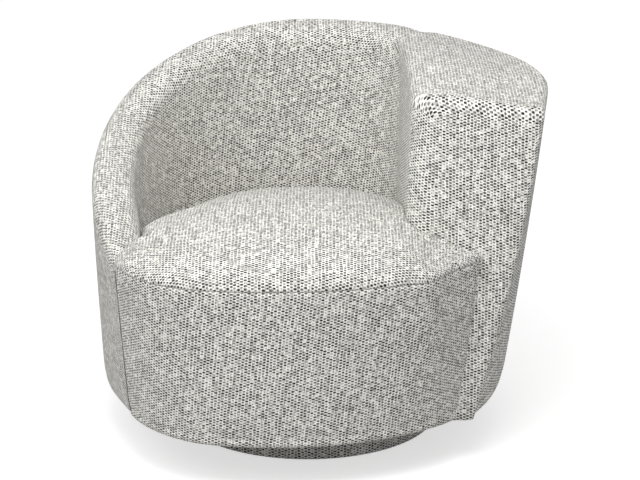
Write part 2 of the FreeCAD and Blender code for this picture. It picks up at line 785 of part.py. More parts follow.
def make_frame():
    gap = s["layer_gap"]
    wrap_inset = outer_layers() + s["panel_thickness"] + 2 * gap
    front_inset = s["cover_thickness"] + s["front_foam_thickness"] + s["panel_thickness"] + 3 * gap
    thick = s["frame_board_thickness"]
    base = board(s["base_board_bottom"], thick, wrap_inset, front_inset, s["base_opening"])
    keep(shaped("BaseRing", base), "base_ring")
    ring = board(s["seat_ring_bottom"], thick, wrap_inset, front_inset, s["seat_ring_opening"])
    keep(shaped("SeatRing", ring), "seat_ring")
    thin = s["dust_cover_thickness"]
    dust = board(s["base_board_bottom"] - thin - gap, thin, wrap_inset, front_inset, s["dust_cover_opening"])
    keep(shaped("DustCover", dust), "dust_cover")

    base_top = "(base_board_bottom + frame_board_thickness)"
    height = f"seat_ring_bottom - {base_top}"
    posts = []
    for number, bearing in enumerate((35, 80, 125, 152, 208, 235, 280, 322)):
        where = (bearing, "lower_post_radius", "lower_post_depth", "post_width", height, base_top)
        posts.append(upright_board(f"LowerPost{number}", *where))
    keep(group("LowerPosts", posts), "lower_posts")

    ring_top = "seat_ring_bottom + frame_board_thickness"
    post_face = "seat_wall_radius + wall_foam_thickness + panel_thickness + 2 * frame_gap"
    posts = []
    for number, bearing in enumerate((96, 126, 158, 188)):
        spoke = Section(bearing)
        top = spoke.outer_edge_height() - 2 * gap - s["rail_thickness"]
        height = f"{top:.3f} - ({ring_top}) - post_clearance"
        where = (bearing, post_face, "back_post_depth", "post_width", height, ring_top)
        posts.append(upright_board(f"BackPost{number}", *where))
    keep(group("BackPosts", posts), "back_posts")

    rails = []
    for number, side in enumerate((-1, 1)):
        x = f"{side} * mechanism_rail_offset - mechanism_rail_width / 2"
        z = "upper_plate_height + plate_thickness"
        tall = "seat_ring_bottom - upper_plate_height - plate_thickness"
        size = ("mechanism_rail_width", "2 * mechanism_rail_reach", tall)
        rails.append(box(f"MechanismRail{number}", *size, x, "-mechanism_rail_reach", z))
    return group("MechanismRailPair", rails)


def spring_path(x, reach, height):
    """A zigzag of straight runs joined by half-turn bends, from the front to the back."""
    pitch = s["seat_spring_pitch"]
    half = s["seat_spring_width"] / 2 - pitch / 4
    count = int(2 * reach / (pitch / 2))
    y = -count * pitch / 4
    edges = []
    side = 1
    a = FreeCAD.Vector(x - half, y, height)
    for number in range(count):
        b = FreeCAD.Vector(x + side * half, y, height)
        edges.append(line(a, b))
        if number < count - 1:
            c = FreeCAD.Vector(x + side * half, y + pitch / 2, height)
            edges.append(arc(b, FreeCAD.Vector(x + side * (half + pitch / 4), y + pitch / 4, height), c))
            a = c
            side = -side
            y += pitch / 2
    return Part.Wire(edges)


def tube(path, radius):
    start = path.Edges[0]
    point = start.valueAt(start.FirstParameter)
    tangent = start.tangentAt(start.FirstParameter)
    if start.Orientation == "Reversed":
        tangent = -tangent
    ring = Part.Wire([Part.makeCircle(radius, point, tangent)])
    return path.makePipeShell([ring], True, False)


def make_seat_springs():
    height = s["seat_ring_bottom"] + s["frame_board_thickness"] + s["seat_spring_wire"] + 0.5
    springs = []
    clips = []
    ring_top = "seat_ring_bottom + frame_board_thickness"
    clip_height = "2 * seat_spring_wire + 1.5"
    for number in range(-2, 3):
        x = number * s["seat_spring_spacing"]
        reach = math.sqrt(s["seat_ring_opening"] ** 2 - x**2) + 12
        path = spring_path(x, reach, height)
        springs.append(tube(path, s["seat_spring_wire"]))
        for end in (-1, 1):
            far = max(end * point.Point.y for point in path.Vertexes)
            y = f"{end * far:.3f} - spring_clip_width / 2"
            centre = f"{number} * seat_spring_spacing - spring_clip_length / 2"
            size = ("spring_clip_length", "spring_clip_width", clip_height)
            clips.append(box(f"SpringClip{number + 2}{end + 1}", *size, centre, y, ring_top))
    wires = shaped("SeatSpringWires", Part.makeCompound(springs))
    keep(wires, "seat_springs")
    keep(cut("SpringClips", group("SpringClipBlocks", clips), wires), "spring_clips")
    low = s["seat_ring_bottom"] + s["frame_board_thickness"] + 2 * s["seat_spring_wire"] + 2
    felt = Part.Face(seat_wire(low, 40, 6)).extrude(FreeCAD.Vector(0, 0, s["felt_thickness"]))
    keep(shaped("SpringFelt", felt), "spring_felt")


def screws(name, places, radius, length, head_radius, head_height, z, up):
    """Fasteners whose heads sit at z; up says whether the shank runs up from the head."""
    made = []
    for number, (x, y) in enumerate(places):
        shank_z = f"({z})" if up else f"({z}) - ({length})"
        head_z = f"({z}) - ({head_height})" if up else f"({z})"
        shank = cylinder(f"{name}Shank{number}", radius, length, x, y, shank_z)
        head = cylinder(f"{name}Head{number}", head_radius, head_height, x, y, head_z)
        made.append(fused(f"{name}{number}", [shank, head]))
    return group(name, made)


def round_places(radius, count, start=0.0):
    places = []
    for number in range(count):
        angle = start + 360 * number / count
        places.append((f"({radius}) * cos({angle})", f"({radius}) * sin({angle})"))
    return places


def square_places(spread):
    return [(f"{a} * {spread}", f"{b} * {spread}") for a in (-1, 1) for b in (-1, 1)]


def make_plinth():
    skin = "cover_thickness"
    hoop_outer = f"plinth_radius - {skin} - layer_gap"
    board_radius = f"{hoop_outer} - plinth_hoop_thickness - 0.2"
    top_z = "plinth_height - plinth_board_thickness"
    disc = cylinder("PlinthTopDisc", board_radius, "plinth_board_thickness", z=top_z)
    hole = cylinder("PlinthTopHole", "centre_pin_head_radius + 8", "3 * plinth_board_thickness", z=f"{top_z} - 5")
    bolt_tool = screws("PlateBoltTool", square_places("plate_bolt_spread"), "plate_bolt_radius + 0.2",
                       "plinth_board_thickness + 20", "plate_bolt_radius + 1", "3", "plinth_height + 6", False)
    wood_screws = screws("PlinthScrews", round_places("glide_circle_radius", 6, 30), "screw_radius", "30",
                         "screw_head_radius", "screw_head_height", "plinth_height - screw_head_height", False)
    top = cut("PlinthTopBored", disc, hole)
    top = cut("PlinthTopDrilled", top, bolt_tool)
    keep(cut("PlinthTop", top, wood_screws), "plinth_top_board")
    keep(wood_screws, "plinth_screws")

    ring = cylinder("PlinthRingDisc", board_radius, "plinth_board_thickness", z="glide_height")
    opening = cylinder("PlinthRingHole", f"{board_radius} - plinth_ring_width", "60")
    keep(cut("PlinthRing", ring, opening), "plinth_bottom_ring")

    blocks = []
    block_z = "glide_height + plinth_board_thickness"
    tall = f"{top_z} - ({block_z})"
    for number in range(6):
        where = ("glide_circle_radius - plinth_block_depth / 2", "plinth_block_depth", "plinth_block_width")
        blocks.append(upright_board(f"PlinthBlock{number}", 60 * number, *where, tall, block_z))
    block_group = group("PlinthBlockGroup", blocks)
    keep(cut("PlinthBlocks", block_group, wood_screws), "plinth_blocks")

    hoop = cylinder("HoopOuter", hoop_outer, "plinth_height - glide_height", z="glide_height")
    bore = cylinder("HoopInner", f"{hoop_outer} - plinth_hoop_thickness", "2 * plinth_height")
    keep(cut("PlinthHoop", hoop, bore), "plinth_hoop")

    band = cylinder("PlinthBandOuter", "plinth_radius", "plinth_height - plinth_cover_lift", z="plinth_cover_lift")
    bore = cylinder("PlinthBandInner", f"plinth_radius - {skin}", "2 * plinth_height")
    keep(cut("PlinthCover", band, bore), "plinth_cover")

    glides = []
    for number, (x, y) in enumerate(round_places("glide_circle_radius", 5, 90)):
        glides.append(cylinder(f"Glide{number}", "glide_radius", "glide_height", x, y))
    keep(group("Glides", glides), "floor_glides")


def make_bearing():
    """Two pressed plates with a ring of balls between, held together by a headed pin."""
    plate_z = "plinth_height"
    half = "lower_plate_side / 2"
    square = ("lower_plate_side", "lower_plate_side", "plate_thickness", f"-{half}", f"-{half}", plate_z)
    plate = box("LowerPlateSquare", *square)
    pin_hole = cylinder("LowerPlateBore", "centre_pin_radius", "20", z=f"{plate_z} - 5")
    bolts = screws("PlateBolts", square_places("plate_bolt_spread"), "plate_bolt_radius",
                   "plinth_board_thickness + plate_thickness + 6", "plate_bolt_radius + 3", "4",
                   "plinth_height + plate_thickness", False)
    plate = cut("LowerPlateBored", plate, pin_hole)
    keep(cut("LowerPlate", plate, bolts), "lower_bearing_plate")
    keep(bolts, "plate_bolts")
    nuts = []
    nut_z = "plinth_height - plinth_board_thickness - 5.2"
    for number, (x, y) in enumerate(square_places("plate_bolt_spread")):
        nuts.append(cylinder(f"PlateNut{number}", "plate_bolt_radius + 3.5", "5", x, y, nut_z))
    keep(cut("PlateNuts", group("PlateNutGroup", nuts), bolts), "plate_nuts")

    gap_z = "plinth_height + plate_thickness"
    balls = []
    for number, (x, y) in enumerate(round_places("ball_circle_radius", 12)):
        ball = doc.addObject("Part::Sphere", f"Ball{number}")
        bind(ball, Radius="ball_radius")
        balls.append(place(ball, x, y, f"{gap_z} + ball_radius"))
    keep(group("Balls", balls), "bearing_balls")
    cage_z = f"{gap_z} + ball_radius - cage_thickness / 2"
    cage = cylinder("CageOuter", "ball_circle_radius + cage_width / 2", "cage_thickness", z=cage_z)
    bore = cylinder("CageInner", "ball_circle_radius - cage_width / 2", "200")
    pockets = []
    for number, (x, y) in enumerate(round_places("ball_circle_radius", 12)):
        pockets.append(cylinder(f"CagePocket{number}", "ball_radius + 0.2", "200", x, y))
    cage = cut("CageRing", cage, bore)
    keep(cut("BallCage", cage, group("CagePockets", pockets)), "ball_cage")

    upper_z = f"{gap_z} + 2 * ball_radius + bearing_clearance"
    rivets = screws("BracketRivetTops", square_places("rivet_spread"), "rivet_radius",
                    "2 * plate_thickness", "rivet_head_radius", "rivet_head_height",
                    f"{upper_z} + 2 * plate_thickness", False)
    disc = cylinder("UpperPlateDisc", "upper_plate_radius", "plate_thickness", z=upper_z)
    bore = cylinder("UpperPlateBore", "centre_pin_radius + running_clearance", "200")
    disc = cut("UpperPlateBored", disc, bore)
    keep(cut("UpperPlate", disc, rivets), "upper_bearing_plate")
    tails = []
    for number, (x, y) in enumerate(square_places("rivet_spread")):
        tails.append(cylinder(f"RivetTail{number}", "rivet_head_radius", "rivet_head_height", x, y,
                              f"{upper_z} - rivet_head_height"))
    keep(group("BracketRivets", [fused("RivetSolids", [rivets] + tails)]), "bracket_rivets")

    head_z = f"{upper_z} + plate_thickness + bearing_clearance"
    shank = cylinder("PinShank", "centre_pin_radius", f"{head_z} - plinth_height + 3", z="plinth_height - 3")
    foot = cylinder("PinFoot", "centre_pin_head_radius", "3", z="plinth_height - 3")
    head = cylinder("PinHead", "centre_pin_head_radius", "3", z=head_z)
    keep(fused("CentrePin", [shank, foot, head]), "centre_pin")
    return upper_z, rivets


def cheek(name, inner_x, low, high, half):
    return box(name, "plate_thickness", f"2 * ({half})", f"({high}) - ({low})", inner_x, f"-({half})", low)


def make_rocker(upper_z, rivets):
    """A cradle on the bearing, a cradle under the seat, and a pivot bolt through each pair of cheeks."""
    floor_z = f"({upper_z} + plate_thickness)"
    width = "2 * (cheek_offset + plate_thickness)"
    base = box("CradleBase", width, "bracket_length", "plate_thickness",
               "-(cheek_offset + plate_thickness)", "-bracket_length / 2", floor_z)
    top = "pivot_height + 18"
    left = cheek("CradleCheekLeft", "-cheek_offset - plate_thickness", floor_z, top, "cheek_half_width")
    right = cheek("CradleCheekRight", "cheek_offset", floor_z, top, "cheek_half_width")
    cradle = fused("CradleWhole", [base, left, right])
    cradle = cut("CradleForPin", cradle, cylinder("CradleHole", "centre_pin_head_radius + 3", "100"))
    cradle = cut("CradleForRivets", cradle, rivets)
    bush_hole = cylinder_along_x("BushHole", "pivot_radius + running_clearance + bush_wall",
                                 "4 * cheek_offset", "-2 * cheek_offset", "pivot_height")
    keep(cut("RockerCradle", cradle, bush_hole), "rocker_cradle")

    outer_x = "(cheek_offset + plate_thickness + cheek_gap)"
    plate_z = "upper_plate_height"
    plate = box("SeatBracketPlate", "upper_bracket_width", "upper_bracket_length", "plate_thickness",
                "-upper_bracket_width / 2", "-upper_bracket_length / 2", plate_z)
    low = "pivot_height - 16"
    left = cheek("SeatCheekLeft", f"-{outer_x} - plate_thickness", low, plate_z, "cheek_half_width")
    right = cheek("SeatCheekRight", outer_x, low, plate_z, "cheek_half_width")
    bolt_holes = cylinder_along_x("PivotHole", "pivot_radius", "4 * cheek_offset", "-2 * cheek_offset",
                                  "pivot_height")
    bracket_holes = [(f"{side} * mechanism_rail_offset", f"{y} * upper_bracket_length")
                     for side in (-1, 1) for y in (-0.4, 0, 0.4)]
    wood_screws = screws("BracketScrews", bracket_holes, "screw_radius + 0.8", "30", "screw_head_radius + 2",
                         "screw_head_height", plate_z, True)
    bracket = cut("SeatBracketBored", fused("SeatBracketWhole", [plate, left, right]), bolt_holes)
    keep(cut("SeatBracket", bracket, wood_screws), "seat_bracket")
    keep(wood_screws, "bracket_screws")

    bolts = []
    nuts = []
    bushes = []
    bush_outer = "pivot_radius + running_clearance + bush_wall"
    for name, side in (("Left", -1), ("Right", 1)):
        inner_end = "(cheek_offset - 8)"
        reach = f"{outer_x} + plate_thickness"
        length = f"{reach} - {inner_end}"
        start = inner_end if side > 0 else f"-({reach})"
        shank = cylinder_along_x(f"PivotShank{name}", "pivot_radius", length, start, "pivot_height")
        head_x = reach if side > 0 else f"-({reach}) - bolt_head_height"
        head = cylinder_along_x(f"PivotHead{name}", "bolt_head_radius", "bolt_head_height", head_x, "pivot_height")
        bolts.append(fused(f"PivotBolt{name}", [shank, head]))
        nut_x = f"{inner_end} + 1" if side > 0 else f"-{inner_end} - 7"
        nut = cylinder_along_x(f"PivotNut{name}", "bolt_head_radius", "6", nut_x, "pivot_height")
        nuts.append(cut(f"PivotNutBored{name}", nut, bolts[-1]))
        sleeve_x = "cheek_offset" if side > 0 else "-cheek_offset - plate_thickness"
        sleeve = cylinder_along_x(f"BushSleeve{name}", bush_outer, "plate_thickness", sleeve_x, "pivot_height")
        flange_length = "cheek_gap - 0.4"
        flange_x = "cheek_offset + plate_thickness" if side > 0 else (
            f"-cheek_offset - plate_thickness - ({flange_length})")
        flange = cylinder_along_x(f"BushFlange{name}", "bush_flange_radius", flange_length, flange_x, "pivot_height")
        bore = cylinder_along_x(f"BushBore{name}", "pivot_radius + running_clearance", "4 * cheek_offset",
                                "-2 * cheek_offset", "pivot_height")
        bushes.append(cut(f"BushBored{name}", fused(f"BushSolid{name}", [sleeve, flange]), bore))
    keep(group("PivotBolts", bolts), "pivot_bolts")
    keep(group("PivotNuts", nuts), "pivot_nuts")
    keep(group("PivotBushes", bushes), "pivot_bushes")
    return wood_screws


def helix_point(centre, radius, angle, bottom, rise):
    x = centre[0] + radius * math.cos(angle)
    y = centre[1] + radius * math.sin(angle)
    return FreeCAD.Vector(x, y, bottom + rise * angle)


def helix_tangent(radius, angle, rise):
    return FreeCAD.Vector(-radius * math.sin(angle), radius * math.cos(angle), rise).normalize()


def arc_from(a, tangent, b):
    """The arc that leaves a along a tangent and ends at b."""
    chord = b - a
    along = FreeCAD.Vector(chord).normalize()
    aside = tangent - along * tangent.dot(along)
    angle = math.acos(clamp(tangent.dot(along), -1, 1))
    lift = FreeCAD.Vector(aside).normalize() * (chord.Length / 2 * math.tan(angle / 2))
    return arc(a, a + chord * 0.5 + lift, b)


def coil(centre, bottom, top):
    """One compression spring as an unbroken wire, each quarter turn two arcs."""
    wire = s["rocker_spring_wire"]
    radius = s["rocker_spring_radius"]
    turns = s["rocker_spring_turns"]
    low = bottom + wire + 0.5
    rise = (top - bottom - 2 * wire - 1) / (2 * math.pi * turns)
    edges = []
    steps = int(4 * turns)
    for step in range(steps):
        first, last = math.pi / 2 * step, math.pi / 2 * (step + 1)
        a = helix_point(centre, radius, first, low, rise)
        b = helix_point(centre, radius, last, low, rise)
        leaving = helix_tangent(radius, first, rise)
        arriving = helix_tangent(radius, last, rise)
        chord = b - a
        both = leaving + arriving
        spread = 2 * (1 - leaving.dot(arriving))
        reach = (-chord.dot(both) + math.sqrt(chord.dot(both) ** 2 + spread * chord.dot(chord))) / spread
        middle = (a + b + (leaving - arriving) * reach) * 0.5
        edges.append(arc_from(a, leaving, middle))
        edges.append(arc_from(b, arriving * -1, middle).reversed())
    return tube(Part.Wire(edges), wire)


def make_rocker_springs(floor_height):
    for name, side in (("front_springs", -1), ("rear_springs", 1)):
        y = side * s["rocker_spring_reach"]
        pair = [coil((x * s["rocker_spring_side"], y), floor_height, s["upper_plate_height"]) for x in (-1, 1)]
        keep(shaped(name.title().replace("_", ""), Part.makeCompound(pair)), name)


make_wall()
make_front()
make_wing_front()
make_cushion()
rail_pair = make_frame()
make_seat_springs()
make_plinth()
bearing_top, bracket_rivets = make_bearing()
rail_screws = make_rocker(bearing_top, bracket_rivets)
keep(cut("MechanismRails", rail_pair, rail_screws), "mechanism_rails")
cradle_floor = s["plinth_height"] + 3 * s["plate_thickness"] + 2 * s["ball_radius"] + s["bearing_clearance"]
make_rocker_springs(cradle_floor)
doc.recompute()

for thing in doc.Objects:
    if "Invalid" in thing.State or "Error" in thing.State:
        raise RuntimeError(f"{thing.Label} failed to compute")
for piece in pieces:
    shape = piece.Shape
    if shape.isNull() or not shape.isValid() or not shape.Solids:
        raise RuntimeError(f"{piece.Label} has no valid solid")
for piece in pieces:
    piece.Shape.exportStep(f"parts/{piece.Label}.step")
    print(f"{piece.Label}: {len(piece.Shape.Solids)} solids, {piece.Shape.Volume / 1000:.1f} cm3")
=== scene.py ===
# %% [markdown]
# # A swivel rocker with one wrap-round wall and a single upright wing
# The chair is a low barrel. Its padded wall starts at a low nose on the left as one looks at it, climbs
# round the back and ends on the right in an upright wing with a flat front. The wood, steel and springs
# come ready made from the packed part, which is called the frame here. This file dresses that frame: each
# cover is a fabric mesh of its own, laid over the frame's simple soft solids. Lengths are in millimetres
# while shapes are worked out, and become metres when a mesh is made.

# %% Tools and the frame
import json
import math
import bmesh
import bpy
import numpy as np
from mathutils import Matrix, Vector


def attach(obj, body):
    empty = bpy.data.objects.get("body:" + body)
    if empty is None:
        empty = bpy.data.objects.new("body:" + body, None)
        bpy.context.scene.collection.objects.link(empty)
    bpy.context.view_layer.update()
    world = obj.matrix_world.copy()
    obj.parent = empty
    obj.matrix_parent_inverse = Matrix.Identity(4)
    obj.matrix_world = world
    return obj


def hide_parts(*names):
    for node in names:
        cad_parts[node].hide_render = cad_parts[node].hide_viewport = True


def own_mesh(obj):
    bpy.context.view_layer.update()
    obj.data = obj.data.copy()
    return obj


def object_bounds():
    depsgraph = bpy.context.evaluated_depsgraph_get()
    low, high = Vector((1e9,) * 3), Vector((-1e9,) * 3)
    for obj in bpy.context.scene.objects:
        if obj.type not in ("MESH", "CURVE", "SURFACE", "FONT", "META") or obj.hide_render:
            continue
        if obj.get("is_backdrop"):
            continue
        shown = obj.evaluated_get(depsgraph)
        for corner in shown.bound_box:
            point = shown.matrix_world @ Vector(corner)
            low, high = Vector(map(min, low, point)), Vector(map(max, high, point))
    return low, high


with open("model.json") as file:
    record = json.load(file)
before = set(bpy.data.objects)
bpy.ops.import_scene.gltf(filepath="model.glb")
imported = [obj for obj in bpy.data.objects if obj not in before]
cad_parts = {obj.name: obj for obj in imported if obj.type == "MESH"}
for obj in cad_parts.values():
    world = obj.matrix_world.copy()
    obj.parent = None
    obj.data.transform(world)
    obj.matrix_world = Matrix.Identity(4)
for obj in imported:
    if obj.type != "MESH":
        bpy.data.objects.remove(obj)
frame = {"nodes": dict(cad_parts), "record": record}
first_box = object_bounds()
nodes = frame["nodes"]
MM = 0.001
print("frame pieces:", len(nodes), "lowest and highest corner:", first_box)

# %% [markdown]
# ## Three small helpers
# Nearly every size of the chair goes gently from one value to another, as padding does. These helpers say
# that in one word each, for a single number or for a whole grid of them: mix goes from one value to the
# other, clamp keeps a value within its ends, and smooth starts and stops softly. Curves drawn by hand would
# do too, but then each piece would have its own, and two that must meet could drift apart.

# %% Mix, clamp and smooth


def mix(start, end, share):
    return start + (end - start) * share


def clamp(value, low=0.0, high=1.0):
    return np.clip(value, low, high)


def smooth(share):
    share = clamp(share)
    return share * share * (3 - 2 * share)


print("a quarter of the way, softly:", float(smooth(0.25)))

# %% [markdown]
# ## Upright stations round the wall
# The wall is one long shape, so it is described by upright cuts. Each station stands on a line that runs
# outward from the swivel axis, and along the wing the lines run straight across. A bearing is the angle
# round that axis: 0 is the front, 90 the low arm's side, 180 the back and 270 the wing. The wall could also
# be sculpted by hand, but cuts keep it true to the frame's solids, which follow the same outlines.

# %% A station and the main heights
HEM = 80
SEAM = 365
RIDGE = 672
FOOT = 285
NOSE_BEARING = 54
WING_BEARING = 270.0


class Station:
    """A cut through the wall: at a bearing, or on the wing at a distance forward of the swivel axis."""

    def __init__(self, bearing=WING_BEARING, forward=0.0):
        self.bearing = bearing
        self.forward = forward
        angle = math.radians(bearing)
        self.out = (-math.sin(angle), -math.cos(angle))

    def place(self, distance, height):
        x = self.out[0] * distance
        y = self.out[1] * distance - self.forward
        return np.stack(np.broadcast_arrays(x, y, height), axis=-1)


print("body from", HEM, "to", RIDGE, "above the floor, seat seam at", SEAM)

# %% [markdown]
# ## The wall's outer face
# Outside, the wall is a round tub that widens upward and shifts a little towards the wing. The nose stands
# out beyond the round at the front, and so does the wing's front edge. A circle worked out at each height
# gives the tub, and two small swellings are added to it where the bearing or the wing calls for them.

# %% How far out the outer face stands
OUTER_RADIUS = 368
OUTER_FLARE = 43
FLARE_HEIGHT = 540
FLARE_CURVE = 0.35
OUTER_CENTRE = -8
OUTER_CENTRE_SHIFT = 26
NOSE_SWELL_BEARING = 70
NOSE_SWELL = (12, 20)
WING_SWELL_START = 60
WING_SWELL_RUN = 120
WING_SWELL = (8, 21)


def outer_reach(at, height, forward=None):
    forward = at.forward if forward is None else forward
    rise = (height - HEM) / FLARE_HEIGHT
    radius = OUTER_RADIUS + OUTER_FLARE * ((1 + FLARE_CURVE) * rise - FLARE_CURVE * rise**2)
    centre = OUTER_CENTRE + OUTER_CENTRE_SHIFT * rise
    along = centre * at.out[0] + forward * at.out[1]
    reach = along + np.sqrt(radius**2 - centre**2 - forward**2 + along**2)
    nose = clamp((NOSE_SWELL_BEARING - at.bearing) / (NOSE_SWELL_BEARING - NOSE_BEARING))
    reach = reach + mix(*NOSE_SWELL, clamp((height - HEM) / (SEAM - HEM))) * nose**2
    run = np.maximum(0.0, (forward - WING_SWELL_START) / WING_SWELL_RUN)
    return reach + mix(*WING_SWELL, clamp(rise)) * run**2


back = Station(180.0)
print("outer face at the back, low and high:", [round(float(outer_reach(back, z))) for z in (HEM, RIDGE)])

# %% [markdown]
# ## The wall's inner face
# Inside, the sitter meets a round bucket. A tighter arc turns it into the wing's straight inner side, and
# at the nose the wall thins out. All of it leans outward a little above the seat, as a back does.

# %% How far out the inner face stands
INNER_RADIUS = 310
INNER_LEAN = 12
WING_INNER_X = 170
VALLEY_RADIUS = 100
VALLEY_X = WING_INNER_X - VALLEY_RADIUS
VALLEY_Y = math.sqrt((INNER_RADIUS - VALLEY_RADIUS) ** 2 - VALLEY_X**2)
VALLEY_START = 180 + math.degrees(math.atan2(VALLEY_X, VALLEY_Y))
VALLEY_END = 180 + math.degrees(math.atan2(WING_INNER_X, VALLEY_Y))
NOSE_THIN_BEARING = 78
NOSE_WALL = 28


def seat_reach(at):
    """The inner face at the seat's seam."""
    if at.forward > 0 or at.bearing >= VALLEY_END:
        return WING_INNER_X / at.out[0]
    if at.bearing > VALLEY_START:
        along = VALLEY_X * at.out[0] + VALLEY_Y * at.out[1]
        return along + math.sqrt(VALLEY_RADIUS**2 - VALLEY_X**2 - VALLEY_Y**2 + along**2)
    thin = clamp((NOSE_THIN_BEARING - at.bearing) / (NOSE_THIN_BEARING - NOSE_BEARING))
    return mix(INNER_RADIUS, outer_reach(at, SEAM) - NOSE_WALL, thin**2)


def inner_reach(at, height):
    return seat_reach(at) + INNER_LEAN * np.maximum(0.0, (height - SEAM) / (RIDGE - SEAM))


print("the tight arc runs from bearing", round(VALLEY_START, 1), "to", round(VALLEY_END, 1))

# %% [markdown]
# ## The wall's top
# The top climbs from the seat's seam at the nose to the ridge at the back, as a quarter of a wave does,
# and falls a little along the wing. Its padding is thick on the sitter's side and thin outside, so the two
# rolled edges differ in size, and both shrink where the wall is too thin to hold them.

# %% Height of the top
CLIMB_BEARING = 58
WING_RIDGE = 662
WING_BACK = 138
WING_TOP = 648


def ridge_height(at):
    if at.forward > 0:
        return mix(WING_RIDGE, WING_TOP, min(1.0, at.forward / WING_BACK))
    if at.bearing > 180:
        return mix(RIDGE, WING_RIDGE, (at.bearing - 180) / 90)
    share = clamp((at.bearing - CLIMB_BEARING) / (180 - CLIMB_BEARING))
    return mix(SEAM, RIDGE, math.sin(math.pi / 2 * share))


print("top at the nose, back and wing:", [round(float(ridge_height(Station(b)))) for b in (60, 180, 270)])

# %% Size of the rolled edges
WING_DROP = 22
WING_CHANGE_BEARING = 190
WING_CHANGE_ARC = 60
INNER_EDGE = (42, 24)
OUTER_EDGE = (34, 12)
EDGE_ROOM = 0.9


def wing_share(at):
    return smooth((at.bearing - WING_CHANGE_BEARING) / WING_CHANGE_ARC)


def edge_sizes(at):
    inner = mix(*INNER_EDGE, wing_share(at))
    outer = mix(*OUTER_EDGE, wing_share(at))
    room = EDGE_ROOM * (outer_reach(at, ridge_height(at)) - inner_reach(at, ridge_height(at)))
    fit = min(1.0, room / (inner + outer))
    return inner * fit, outer * fit


def lip_height(at):
    """Where the rolled top ends and the outside cover begins."""
    return ridge_height(at) - WING_DROP * wing_share(at) - edge_sizes(at)[1]


print("rolled edges at the back, inner and outer:", [round(float(size)) for size in edge_sizes(back)])

# %% [markdown]
# ## The wing's flat front and the line of stations
# The wing's face leans back as it rises. At its foot it meets the front border in an upright crease. The
# stations stand close together where the shape changes fast, at the nose and on the wing.

# %% Face, crease and stations
WING_FACE = (245, 180)
CREASE = (265, 306)
NOSE_END = 80
ROUND_STATIONS = 127
WING_STATIONS = 20
FIRST_WING_STEP = 6


def wing_face(height):
    return mix(*WING_FACE, (height - HEM) / (WING_TOP - HEM))


def crease(height):
    return mix(*CREASE, (height - HEM) / (SEAM - HEM))


stations = [Station(bearing) for bearing in np.arange(NOSE_BEARING, NOSE_END, 1.0)]
stations += [Station(bearing) for bearing in np.linspace(NOSE_END, WING_BEARING, ROUND_STATIONS)]
stations += [Station(forward=step) for step in np.linspace(FIRST_WING_STEP, WING_BACK, WING_STATIONS)]
print("stations along the wall:", len(stations))

# %% [markdown]
# ## Making cloth meshes
# A cover is made of patches: grids of points with, for each point, its place in the cloth in millimetres.
# That place is kept as a UV map named weave, so the woven pattern has its real size and follows the cut of
# each panel. Unwrapping by hand or by a tool would lose that. Where two panels meet in different
# directions the pattern changes, as it does at a real seam.

# %% Patches to a mesh
WELD = 0.00002


def cloth_piece(name, patches, replaced):
    mesh = bmesh.new()
    layer = mesh.loops.layers.uv.new("weave")
    for points, weave in patches:
        rows, columns = points.shape[:2]
        made = [[mesh.verts.new(points[r, c] * MM) for c in range(columns)] for r in range(rows)]
        for r in range(rows - 1):
            for c in range(columns - 1):
                ring = ((r, c), (r + 1, c), (r + 1, c + 1), (r, c + 1))
                face = mesh.faces.new([made[i][j] for i, j in ring])
                face.smooth = True
                for loop, (i, j) in zip(face.loops, ring):
                    loop[layer].uv = weave[i, j] * MM
    bmesh.ops.remove_doubles(mesh, verts=mesh.verts, dist=WELD)
    data = bpy.data.meshes.new(name)
    mesh.to_mesh(data)
    mesh.free()
    piece = bpy.data.objects.new(name, data)
    bpy.context.scene.collection.objects.link(piece)
    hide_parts(*replaced)
    print(name, "faces:", len(data.polygons))
    return piece


print("points of two patches closer than", WELD / MM, "mm become one")

# %% [markdown]
# ## Uneven stuffing and lengths along the cloth
# Stuffed fabric is never quite even. Three slow waves of different lengths give that, and because they
# depend on the place alone, two panels that share a point still meet. A noise texture with a displace
# modifier could do the same, but plain waves keep each point's shift easy to see and to keep small.

# %% Wobble and path length
WAVE_ASIDE = 31
WAVE_BACK = 37
WAVE_ACROSS = 53
WAVES_UP = (47, 29, 61)
WAVE_BEND = 1.3
WAVE_START = 0.7


def wobble(points, size=1.0):
    x, y, z = (points[..., axis] for axis in range(3))
    bent = np.sin(x / WAVE_ASIDE + WAVE_BEND * np.sin(z / WAVES_UP[0]))
    leaning = np.sin(y / WAVE_BACK + z / WAVES_UP[1] + WAVE_START)
    crossing = np.sin((x - y) / WAVE_ACROSS + z / WAVES_UP[2])
    return size * (bent + leaning + crossing) / 3


def path_length(points):
    """For each point of a grid, the length of cloth from the start of its row."""
    steps = np.linalg.norm(np.diff(points, axis=1), axis=2)
    return np.concatenate([np.zeros((len(points), 1)), np.cumsum(steps, axis=1)], axis=1)


def line_length(points):
    """The same for a single line of points."""
    return path_length(points[None])[0]


print("wobble at the middle of the floor:", round(float(wobble(np.zeros(3))), 2))

# %% [markdown]
# ## The profile of the wall's cover
# From the seat upward the cover climbs the inner face, rolls over a padded top and ends at a seam just
# below the outer edge. The counts of points are the same at every station, so the profiles join as a grid.
# Between back and wing the cloth is drawn in to a shallow groove, which shows as the long crease there.

# %% The groove between back and wing
GROOVE_BEARING = 213
GROOVE_WIDTH = 3.2
GROOVE_DEPTH = 5.0
GROOVE_BELOW = 90
GROOVE_RUN = 110
GROOVE_TURN = 20


def groove(at, height, inner_end):
    """How deep the groove between back and wing is at each height."""
    if at.forward > 0:
        return np.zeros_like(height)
    deepest = GROOVE_DEPTH * math.exp(-(((at.bearing - GROOVE_BEARING) / GROOVE_WIDTH) ** 2))
    return deepest * smooth((height - inner_end + GROOVE_BELOW) / GROOVE_RUN)


print("the groove is", GROOVE_DEPTH, "mm deep at bearing", GROOVE_BEARING)

